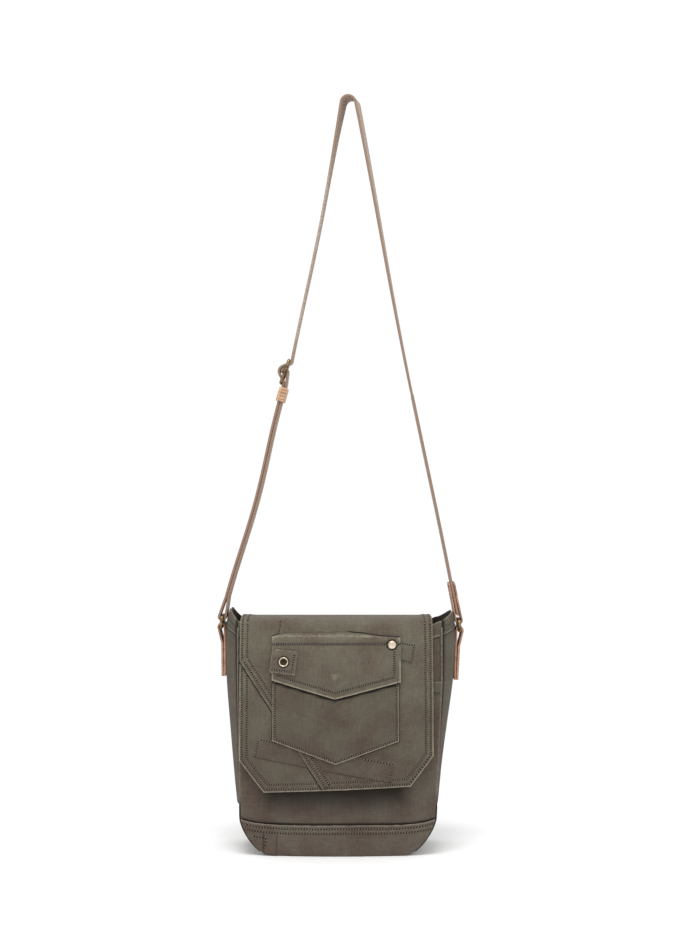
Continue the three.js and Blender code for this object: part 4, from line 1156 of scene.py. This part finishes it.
eyelet_spot = Vector((cover_x - COVER_WIDTH / 2 + 11.4, 0.2225 * FLAP_DROP))
RIVET_WIDTH = 8
rivet_spot = (cover_x + COVER_WIDTH / 2 - 8.1, 0.12 * FLAP_DROP)
cover_rows = steps(100, 84, 1.6)[:-1] + steps(84, 30, 3)[:-1] + steps(30, 0, 1.4) + [-0.6, -2.4]
cover = lay_cloth(
    "pocket_flap_cloth", pointed_columns(COVER_WIDTH, 8), cover_rows,
    lambda u, v: cover_face(*cover_place(u, v)), FLAP_POCKET_CLOTH, flap_canvas,
    lambda u, v: cover_wear_and_shade(*cover_place(u, v)),
)
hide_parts("pocket_flap")
border = chain(inset(cover_corners[1:] + cover_corners[:1], COVER_ROW))
rows = [[spot for spot in border if spot[1] > cover_s + 13]]
rows += [chain([(cover_x - COVER_WIDTH / 2 + 2, cover_s + 8), (cover_x + COVER_WIDTH / 2 - 2,
                                                             cover_s + 8)])]
sew("pocket_flap_stitching", rows, cover_face, bold=1.8, down=True)

# Eyelet tab: a small doubled patch over the left end of the pocket's flap, stitched along two
# sides, with an antique brass eyelet set through it.
TAB_WIDTH = 25
TAB_HEIGHT = 23
TAB_TILT = math.radians(7)
EYELET_HOLE = 6.6
EYELET_BARREL = 7.4
EYELET_WIDTH = 9.5
tab_way = Vector((math.cos(TAB_TILT), math.sin(TAB_TILT)))
tab_down = Vector((-tab_way.y, tab_way.x))
TAB_ROWS = (9.2, 8.4)
TAB_CORNERS = [(-8.5, -11.5), (12.5, -11.5), (12.5, 11.5), (-12.5, 11.5), (-12.5, -8)]


def tab_face(a, b):
    """A place on the eyelet tab, a across and b down from the eyelet."""
    x, s = eyelet_spot + tab_way * a + tab_down * b
    groove = 0.3 * line_at(a - TAB_ROWS[0], 0.8) + 0.3 * line_at(b - TAB_ROWS[1], 0.8)
    press = 0.4 * math.exp(-((math.hypot(a, b) / 6.5) ** 4))
    lift = cover_lift(x, s) + 2 * FLAP_POCKET_CLOTH + 2 * GAP
    return flap_at(x, s, lift - groove - press + pucker(a, b, 2, 6))


def tab_place(a, b):
    """Grid place to tab place: the upper left corner is cut off and the middle is punched out."""
    if a < -8.5:
        b = -11.5 + (b + 11.5) * (11.5 + 11.5 - 3.5 * (-8.5 - a) / 4) / 23 + 3.5 * (-8.5 - a) / 4
    out = math.hypot(a, b)
    if 1e-6 < out < 8:
        share = (3.2 + 4.8 * out / 8) / out
        a, b = a * share, b * share
    return a, b


def tab_wear_and_shade(a, b):
    # Painted shade: a dark ring just outside the eyelet's flange
    rim = -1.0 * line_at(math.hypot(a, b) - 5.2, 0.7)
    return 0.3 * line_at(inside(TAB_CORNERS, a, b), 1) + rim


tab = lay_cloth(
    "eyelet_tab_cloth", steps(-TAB_WIDTH / 2, TAB_WIDTH / 2, 0.8),
    steps(TAB_HEIGHT / 2, -TAB_HEIGHT / 2, 0.8),
    lambda a, b: tab_face(*tab_place(a, b)), FLAP_POCKET_CLOTH, flap_canvas,
    lambda a, b: tab_wear_and_shade(*tab_place(a, b)), hole=lambda a, b: math.hypot(a, b) < 1.3,
)
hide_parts("eyelet_tab")
tab_row = chain([(TAB_ROWS[0], -10), TAB_ROWS, (-10, TAB_ROWS[1])], 5)
sew("eyelet_tab_stitching", [tab_row], tab_face, down=True)

# Eyelet and rivet: the eyelet is rolled antique brass, the rivet a plain pale nickel cap. Both are
# spun pressings that are set through the pocket's flap.


def metal(name, light, dark, roughness, patina):
    """Pressed or drawn metal with a tarnish that gathers in spots about patina mm wide."""
    material, tree, shader = new_material(name)
    place = add_node(tree, "TexCoord").outputs["Object"]
    spots = noise_at(tree, place, 1000 / patina, 4, 0.65)
    colour = blend(tree, ranged(tree, spots, 0.4, 0.68), linear(light), linear(dark))
    tree.links.new(colour, shader.inputs["Base Color"])
    dull = ranged(tree, spots, 0.35, 0.7, roughness, roughness + 0.25)
    tree.links.new(dull, shader.inputs["Roughness"])
    emboss(tree, shader, noise_at(tree, place, 2600), 0.12, 0.0001)
    shader.inputs["Metallic"].default_value = 1
    return material


antique_brass = metal("antiqued brass", "98825f", "2e2118", 0.3, 3)
# Painted highlight: a paler copy of the antiqued brass, for the eyelet's bright look
highlight_brass = metal("antiqued brass, painted pale as highlight", "f4e7cf", "a38a63", 0.25, 3)
satin_nickel = metal("satin nickel plate", "e9dccb", "b5a28c", 0.3, 5)


def turned_piece(name, profile, spot, lift, material):
    """A round pressing, spun from a profile of (radius, height) and stood on the flap."""
    bm = bmesh.new()
    verts = [bm.verts.new((radius / 1000, 0, height / 1000)) for radius, height in profile]
    edges = [bm.edges.new(pair) for pair in zip(verts, verts[1:])]
    bmesh.ops.spin(bm, geom=verts + edges, cent=(0, 0, 0), axis=(0, 0, 1), angle=2 * math.pi,
                   steps=36, use_merge=True)
    bmesh.ops.remove_doubles(bm, verts=bm.verts, dist=1e-6)
    bmesh.ops.recalc_face_normals(bm, faces=bm.faces)
    turn = flap_normal(*spot).to_track_quat("Z", "Y").to_matrix().to_4x4()
    seat = metres(flap_at(*spot, lift))
    bmesh.ops.transform(bm, matrix=Matrix.Translation(seat) @ turn, verts=bm.verts)
    piece = finish_piece(bm, name, material)
    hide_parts(name.split("_")[0])
    return piece


hole, barrel, rim = EYELET_HOLE / 2, EYELET_BARREL / 2, EYELET_WIDTH / 2
rolled = [((hole + rim) / 2 - (rim - hole) / 2 * math.cos(angle), 0.25 + 1.15 * math.sin(angle))
          for angle in steps(0, math.pi, math.pi / 12)]
eyelet_profile = [(hole, -2.2), *rolled, (rim - 0.4, 0.1), (barrel, 0.1), (barrel, -2.2),
                  (hole, -2.2)]
tab_lift = cover_lift(*eyelet_spot) + 2 * FLAP_POCKET_CLOTH + 2 * GAP - 0.35
turned_piece("eyelet_ring", eyelet_profile, tuple(eyelet_spot), tab_lift, highlight_brass)
RIVET_HEIGHT = 1.7
cap = [(RIVET_WIDTH / 2 * math.cos(angle) ** 0.7, 0.35 + (RIVET_HEIGHT - 0.35) * math.sin(angle))
       for angle in steps(0, math.pi / 2, math.pi / 20)]
rivet_profile = [(0, -0.3), (RIVET_WIDTH / 2 - 0.3, -0.3), (RIVET_WIDTH / 2, 0), *cap[:-1],
                 (0, RIVET_HEIGHT)]
turned_piece("rivet_cap", rivet_profile, rivet_spot,
             cover_lift(*rivet_spot) + FLAP_POCKET_CLOTH + GAP, satin_nickel)

# Leather tabs: oiled brown cowhide 2 mm thick, 30 mm wide, folded round the ring's lower bar and
# sewn down the middle of each gusset. The cut edges are burnished dark.
STRAP_WIDTH = 30
LEATHER = 2
RING_WIRE = 3.5
RING_HEIGHT = 10
RING_TILT = math.radians(4)
TAB_LENGTH = 54
TAB_LOOP = 17
RING_LEVELS = {-1: BODY_HEIGHT - 0.2, 1: BODY_HEIGHT - 4}


def washed_leather(name, light, dark, edge):
    """Vegetable-tanned leather with an oiled, uneven brown and a fine pebble; its cut edges, where
    the piece's "worn" attribute is below 0, are burnished almost black."""
    material, tree, shader = new_material(name)
    place = add_node(tree, "TexCoord").outputs["Object"]
    wear_and_shade = add_node(tree, "Attribute", attribute_name="wear_and_shade").outputs["Fac"]
    share = ranged(tree, noise_at(tree, place, 110, 4, 0.6), 0.35, 0.65)
    brown = blend(tree, share, linear(light), linear(dark))
    colour = blend(tree, ranged(tree, wear_and_shade, -0.1, -0.8), brown, linear(edge))
    tree.links.new(colour, shader.inputs["Base Color"])
    # Pores about 1.3 mm apart, and the wrinkles of the grain between them
    pores = add_node(tree, "TexVoronoi", {"Vector": place, "Scale": 760}).outputs["Distance"]
    relief = worked(tree, "ADD", pores, noise_at(tree, place, 1500, 3))
    emboss(tree, shader, relief, 0.35, 0.0002)
    shader.inputs["Roughness"].default_value = 0.5
    return material


tab_leather = washed_leather("oiled brown cowhide", "b5886f", "7c5344", "1d120c")


def route(start, rounds, end, longest):
    """The middle line of a strap in the XZ plane: straight runs between rounds. Each round is a
    bar it bends about: its place, the bend's radius and 1 if it goes anticlockwise."""
    stops = [(start, 0, 1), *rounds, (end, 0, 1)]
    contacts = []
    for (here, r0, turn0), (there, r1, turn1) in zip(stops, stops[1:]):
        span = there - here
        heading = math.atan2(span.y, span.x) - math.asin((r1 * turn1 - r0 * turn0) / span.length)
        left = Vector((-math.sin(heading), math.cos(heading)))
        contacts.append((here - left * r0 * turn0, there - left * r1 * turn1))
    line = []
    for i, (touch, leave) in enumerate(contacts):
        line += [touch.lerp(leave, share) for share in steps(0, 1, longest / (leave - touch).length)]
        centre, radius, turn = stops[i + 1]
        if i + 1 < len(contacts) and radius:
            reach = leave - centre
            onward = contacts[i + 1][0] - centre
            begin = math.atan2(reach.y, reach.x)
            swept = ((math.atan2(onward.y, onward.x) - begin) * turn) % (2 * math.pi)
            line += [
                centre + radius * Vector((math.cos(begin + turn * turned),
                                          math.sin(begin + turn * turned)))
                for turned in steps(0, swept, math.pi / 14)[1:-1]
            ]
    return [at for i, at in enumerate(line) if not i or (at - line[i - 1]).length > 1e-6], contacts


def strap_along(name, line, thickness, finish, wear_and_shade, twist=None, width=STRAP_WIDTH, edge=0.35):
    """A flat strap along a line in the XZ plane, turned about the vertical by twist(at)."""
    run = [0.0]
    for here, there in zip(line, line[1:]):
        run.append(run[-1] + (there - here).length)
    middle = dict(zip(run, line))

    def place(y, along):
        at = middle[along]
        turn = twist(at) if twist else 0
        return at.x - y * math.sin(turn), y * math.cos(turn), at.y

    across = steps(-width / 2, width / 2, width / 12)
    strap = lay_cloth(name, across, run, place, thickness, finish,
                      lambda y, along: wear_and_shade(y, along, run[-1]), centred=True, edge=edge)
    return strap, run[-1]


fittings = {}
LOOP_BEND = RING_WIRE / 2 + 0.4 + LEATHER / 2
for side, ring_level in RING_LEVELS.items():
    heights = steps(ring_level - TAB_LENGTH, BODY_HEIGHT, 2.4)
    widest = max(
        abs(gusset_at(side, 0, z, HEM_RELIEF if z > BODY_HEIGHT - 14.2 else 0, False)[0])
        for z in heights
    )
    layer = widest + GAP + LEATHER / 2
    lower = Vector((side * (layer + LOOP_BEND),
                    ring_level - RING_HEIGHT / 2 * math.cos(RING_TILT)))
    upward = Vector((-side * math.sin(RING_TILT), math.cos(RING_TILT)))
    fittings[side] = (layer, lower, upward, lower + upward * RING_HEIGHT)


def burnished(y, along, length):
    """A dark line just inside the cut edges, which are rubbed brown."""
    e = min(STRAP_WIDTH / 2 - abs(y), along, length - along)
    return -0.9 * line_at(e - 1.5, 0.9)


for side, side_name in SIDE_NAMES.items():
    layer, lower, _, _ = fittings[side]
    foot = RING_LEVELS[side] - TAB_LENGTH
    lean = 0.85 * (layer - GAP - LEATHER / 2 - abs(gusset_at(side, 0, foot, 0, False)[0]))
    outer = side * (layer + LEATHER + GAP)
    line, _ = route(
        Vector((side * (layer - lean), foot)),
        [(lower, LOOP_BEND, -side), (Vector((outer, lower.y - TAB_LOOP)), 0, 1)],
        Vector((outer - side * lean, foot)), 4,
    )
    folded, length = strap_along(f"tab_{side_name}_leather", line, LEATHER, tab_leather, burnished)
    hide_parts(f"tab_{side_name}")
    box_rows = [(-12, -3), (12, -3), (12, 31), (-12, 31), (-12, -3)]
    lines = [chain([(y, foot + 3.5 + up) for y, up in box_rows], 8)]
    sew(f"tab_{side_name}_stitching", lines,
        lambda y, z: (outer + side * (LEATHER / 2 - lean * (1 - (z - foot) / 32)), side * y, z),
        pitch=3)

# Rings: drawn wire 3.5 mm thick, bent into a low rectangle and joined, antique brass plated.
RING_CLEAR = 1


def rounded_rectangle(half_across, half_up, corner, turn):
    """Places (across, up) round a rectangle, its corners rounded in steps of at most turn."""
    places = []
    for quarter, (u, v) in enumerate(((1, 1), (-1, 1), (-1, -1), (1, -1))):
        for turned in steps(0, math.pi / 2, turn):
            angle = turned + quarter * math.pi / 2
            places.append((u * (half_across - corner) + corner * math.cos(angle),
                           v * (half_up - corner) + corner * math.sin(angle)))
    return places


def wire_loop(bm, centre, upward, half_across, half_up, corner, wire):
    """A closed loop of wire in the plane of Y and the given upward direction."""
    lift = Vector((upward.x, 0, upward.y))
    sideways = Vector((0, 1, 0))
    middle = metres((centre.x, 0, centre.y))
    line = [middle + (sideways * reach + lift * rise) / 1000
            for reach, rise in rounded_rectangle(half_across, half_up, corner, math.pi / 12)]
    frames = []
    for i, at in enumerate(line):
        along = (line[(i + 1) % len(line)] - line[i - 1]).normalized()
        out = sideways.cross(lift)
        axes = Matrix((out, along.cross(out), along)).transposed().to_4x4()
        frames.append(Matrix.Translation(at) @ axes)
    bar_along(bm, frames, wire / 2000, 14, closed=True)


for side, side_name in SIDE_NAMES.items():
    _, lower, upward, upper = fittings[side]
    bm = bmesh.new()
    wire_loop(bm, (lower + upper) / 2, upward, STRAP_WIDTH / 2 + RING_CLEAR + RING_WIRE / 2,
              RING_HEIGHT / 2, 2.9, RING_WIRE)
    ring = finish_piece(bm, f"ring_{side_name}_wire", antique_brass)
    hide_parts(f"ring_{side_name}")

# Strap: one length of sand-coloured cotton webbing, 30 mm wide and 2.4 mm thick. It runs from the
# right ring over the top to the slider, round the left ring and back to the slider's middle bar.
WEBBING = 2.4
STRAP_TOP = Vector((10.3, 741.6))
STRAP_BEND = 7.2
SLIDER_WIRE = 2.8
SLIDER_HEIGHT = 23.6
SLIDER_TILT = math.radians(20)
SLIDER_CENTRE = Vector((-54.8, 474.4))
STRAP_LOOP = 20
LEATHER_END = 38
KEEPER_LENGTH = 14


def cotton_webbing(name, light, dark, shadow):
    """Woven cotton tape: cross ribs 2.2 mm apart and slubs in the yarn. Where the piece's attribute is
    below 0, as at its edges, its colour goes towards shadow, a painted shade."""
    material, tree, shader = new_material(name)
    place = add_node(tree, "TexCoord")
    wear_and_shade = add_node(tree, "Attribute", attribute_name="wear_and_shade").outputs["Fac"]
    ribs = add_node(tree, "TexWave", {"Vector": place.outputs["UV"], "Scale": 0.314 / 2.2,
                                      "Distortion": 1.2, "Detail": 2, "Detail Scale": 1.5},
                    bands_direction="Y").outputs["Fac"]
    yarn = noise_at(tree, place.outputs["Object"], 520, 3)
    cotton = blend(tree, ranged(tree, yarn, 0.35, 0.65), linear(light), linear(dark))
    colour = blend(tree, ranged(tree, wear_and_shade, 0, -1), cotton, linear(shadow))
    tree.links.new(colour, shader.inputs["Base Color"])
    emboss(tree, shader, worked(tree, "MULTIPLY_ADD", yarn, 0.5, ribs), 0.5, 0.0004)
    shader.inputs["Roughness"].default_value = 0.9
    return material


webbing = cotton_webbing("sand-coloured cotton webbing", "b0a295", "95816f", "8b7262")
right_bar, left_bar = fittings[1][3], fittings[-1][3]
slider_up = Vector((math.sin(SLIDER_TILT), math.cos(SLIDER_TILT)))
slider_across = Vector((-slider_up.y, slider_up.x))
bars = [SLIDER_CENTRE + slider_up * SLIDER_HEIGHT / 2 * share for share in (1, 0, -1)]
sliding = SLIDER_WIRE / 2 + GAP + WEBBING / 2
outer_bend = sliding + WEBBING + GAP
right_run = (STRAP_TOP + Vector((STRAP_BEND, 0)) - right_bar).normalized()
doubled_run = (bars[2] - left_bar).normalized()
loop_top = left_bar + doubled_run * STRAP_LOOP
beside = Vector((-doubled_run.y, doubled_run.x)) * (WEBBING + GAP) / 2
middle_line, contacts = route(
    right_bar + right_run * 5,
    [
        (STRAP_TOP, STRAP_BEND, 1),
        (bars[0], sliding, -1),
        (bars[1], outer_bend + GAP, 1),
        (bars[2], sliding, -1),
        (loop_top + beside, 0, 1),
        (left_bar, RING_WIRE / 2 + GAP + WEBBING / 2, 1),
        (loop_top - beside, 0, 1),
        (bars[2], outer_bend, 1),
        (bars[1], sliding, 1),
    ],
    bars[1] + slider_across * sliding - slider_up * 1.5, 6,
)
slider_reach = (SLIDER_HEIGHT + SLIDER_WIRE) / 2 + WEBBING
keeper_foot = SLIDER_CENTRE.y - slider_reach - 4 - KEEPER_LENGTH
# Side, lowest and highest point of each free run, and how far it bows inward
BOWS = [
    (1, right_bar.y + LEATHER_END, STRAP_TOP.y, 2.6),
    (-1, SLIDER_CENTRE.y + slider_reach, STRAP_TOP.y, 1.6),
    (-1, loop_top.y, keeper_foot, 3.2),
]


def bowed(at):
    side = 1 if at.x > STRAP_TOP.x else -1
    for own, low, high, depth in BOWS:
        if own == side and low < at.y < high:
            return Vector((at.x - side * depth * math.sin(math.pi * (at.y - low) / (high - low)) ** 2,
                           at.y))
    return at


def strap_edge_shade(y, along, length):
    """Painted shade at both edges, less of it on the run from the top down to the slider, where the
    light falls on the edges.
    """
    lit_share = smooth(580, 640, along) * (1 - smooth(770, 810, along))
    return -smooth(12.6, 14.8, abs(y)) * (1 - 0.9 * lit_share)


def strap_twist(at):
    if at.y <= SLIDER_CENTRE.y - SLIDER_HEIGHT:
        return 0
    fade = 45 if at.x < STRAP_TOP.x else 260
    return math.radians(-9) * math.exp(-max(0, STRAP_TOP.y - at.y) / fade)


strap, strap_length = strap_along(
    "strap_webbing_tape", [bowed(at) for at in middle_line], WEBBING, webbing, strap_edge_shade,
    strap_twist, edge=0.3,
)
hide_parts("strap_webbing")

# Slider: a three-bar buckle of drawn wire, antique brass plated, that sets the strap's length.
bm = bmesh.new()
slider_half = STRAP_WIDTH / 2 + 0.7 + SLIDER_WIRE / 2
wire_loop(bm, SLIDER_CENTRE, slider_up, slider_half, SLIDER_HEIGHT / 2, 2.1, SLIDER_WIRE)
bar = [metres((SLIDER_CENTRE.x, y, SLIDER_CENTRE.y)) for y in (-slider_half, slider_half)]
bar_along(bm, frames_along(bar, Vector((1, 0, 0))), SLIDER_WIRE / 2000, 14)
slider = finish_piece(bm, "slider_wire", antique_brass)
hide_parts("slider")

# Leather end: a thin piece of the tabs' leather, folded round the right ring and sewn over the
# webbing with a box of stitches.
END_LEATHER = 1.8
end_aside = Vector((right_run.y, -right_run.x)) * ((WEBBING + END_LEATHER) / 2 + GAP)
end_top = right_bar + right_run * LEATHER_END
line, _ = route(end_top - end_aside, [(right_bar, RING_WIRE / 2 + GAP + END_LEATHER / 2, 1)],
                end_top + end_aside, 3)
end_piece, length = strap_along("strap_end_fold", line, END_LEATHER, tab_leather, burnished)
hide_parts("strap_end_leather")
for face_name, out in (("inner", -1), ("outer", 1)):
    box = [(-12, 13), (12, 13), (12, 35), (-12, 35), (-12, 13)]

    def end_face(y, up):
        at = right_bar + right_run * up + end_aside * out * (1 + END_LEATHER / 2 / end_aside.length)
        return at.x, out * y, at.y

    sew(f"strap_end_stitching_{face_name}", [chain(box, 8)], end_face, pitch=3)

# Keeper: a short sleeve of leather round both layers of webbing, closed by rows of tan thread.
KEEPER_CLEAR = 0.45
KEEPER_WALL = 1.5
run_down = contacts[4][1] - contacts[4][0]
first = contacts[4][0] + run_down.normalized() * (4 + KEEPER_LENGTH / 2)
run_back = contacts[7][0] - contacts[7][1]
second = contacts[7][1] + run_back.normalized() * (4 + KEEPER_LENGTH / 2)
keeper_middle = (first + second) / 2
keeper_up = -run_down.normalized()
keeper_out = Vector((keeper_up.y, -keeper_up.x))
half_thick = (first - second).length / 2 + WEBBING / 2 + KEEPER_CLEAR
half_wide = STRAP_WIDTH / 2 + KEEPER_CLEAR
bm = bmesh.new()
wear_and_shade = bm.verts.layers.float.new("wear_and_shade")
walls = []
for out in (KEEPER_WALL, 0):
    ring_verts = []
    for across, y in rounded_rectangle(half_thick + out, half_wide + out, 0.3 + out, math.pi / 8):
        at = keeper_middle + keeper_out * across - keeper_up * KEEPER_LENGTH / 2
        ring_verts.append(bm.verts.new(metres((at.x, y, at.y))))
    walls.append([bm.edges.new((ring_verts[i - 1], vert)) for i, vert in enumerate(ring_verts)])
foot_faces = bmesh.ops.bridge_loops(bm, edges=walls[0] + walls[1])["faces"]
grown = bmesh.ops.extrude_face_region(bm, geom=foot_faces)["geom"]
rise = keeper_up * KEEPER_LENGTH / 1000
bmesh.ops.translate(bm, vec=(rise.x, 0, rise.y),
                    verts=[g for g in grown if isinstance(g, bmesh.types.BMVert)])
bmesh.ops.recalc_face_normals(bm, faces=bm.faces)
pale_leather = washed_leather("undyed cowhide, pale with wear", "d8b396", "a9815f", "3a2a1e")
keeper = finish_piece(bm, "strap_keeper_sleeve", pale_leather)
round_edges(keeper, "burnished edge", 0.4, 2)
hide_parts("strap_keeper")
tan_thread = plain_material("tan waxed thread", "a67f57", "c9a679", 900, 0.7)


def keeper_face(across, up):
    at = keeper_middle + keeper_out * across + keeper_up * up
    return at.x, -(half_wide + KEEPER_WALL), at.y


rows = [[(-half_thick, up), (half_thick, up)] for up in (-5, -1.7, 1.7, 5)]
sew("strap_keeper_stitching", rows, keeper_face, pitch=2, bold=0.7, finish=tan_thread)

# Floor: a flat sheet of white paper under soft light.
paper = plain_material("matt white paper", "f1f1f1", "f5f5f5", 60, 0.95, detail=3)
paper.node_tree.nodes["Principled BSDF"].inputs["Specular IOR Level"].default_value = 0
bm = bmesh.new()
bmesh.ops.create_grid(bm, x_segments=1, y_segments=1, size=0.55)
bmesh.ops.translate(bm, vec=(0, -0.15, -HANG_POINT.z / 1000 - 0.0004), verts=bm.verts)
floor = made_object(bm, "floor", paper)

# Light: a white surround that is dimmer overhead, with a large soft light high above the front.
world = bpy.data.worlds.new("white tent")
world.use_nodes = True
tent = world.node_tree
height = add_node(tent, "SeparateXYZ", {0: add_node(tent, "TexCoord").outputs["Generated"]})
brightness = add_node(tent, "MapRange", {"Value": height.outputs["Z"], "From Min": 0.3,
                                         "From Max": 0.6, "To Min": 1.02, "To Max": 0.95})
tent.links.new(brightness.outputs[0], tent.nodes["Background"].inputs["Strength"])
tent.nodes["Background"].inputs["Color"].default_value = (1, 1, 1, 1)
bpy.context.scene.world = world
for light_name, place, aim, size, watts in (
    ("high softbox", (-0.12, -0.9, 1.5), (0, 0, -0.6), 0.9, 26),
    ("front softbox", (0.5, -2.2, 0.3), (0, 0, -0.5), 1.2, 4),
):
    lamp = bpy.data.objects.new(light_name, bpy.data.lights.new(light_name, "AREA"))
    lamp.data.energy = watts
    lamp.data.size = size
    lamp.location = place
    lamp.rotation_euler = (Vector(aim) - Vector(place)).to_track_quat("-Z", "Y").to_euler()
    bpy.context.scene.collection.objects.link(lamp)
bpy.context.scene.view_settings.view_transform = "Standard"
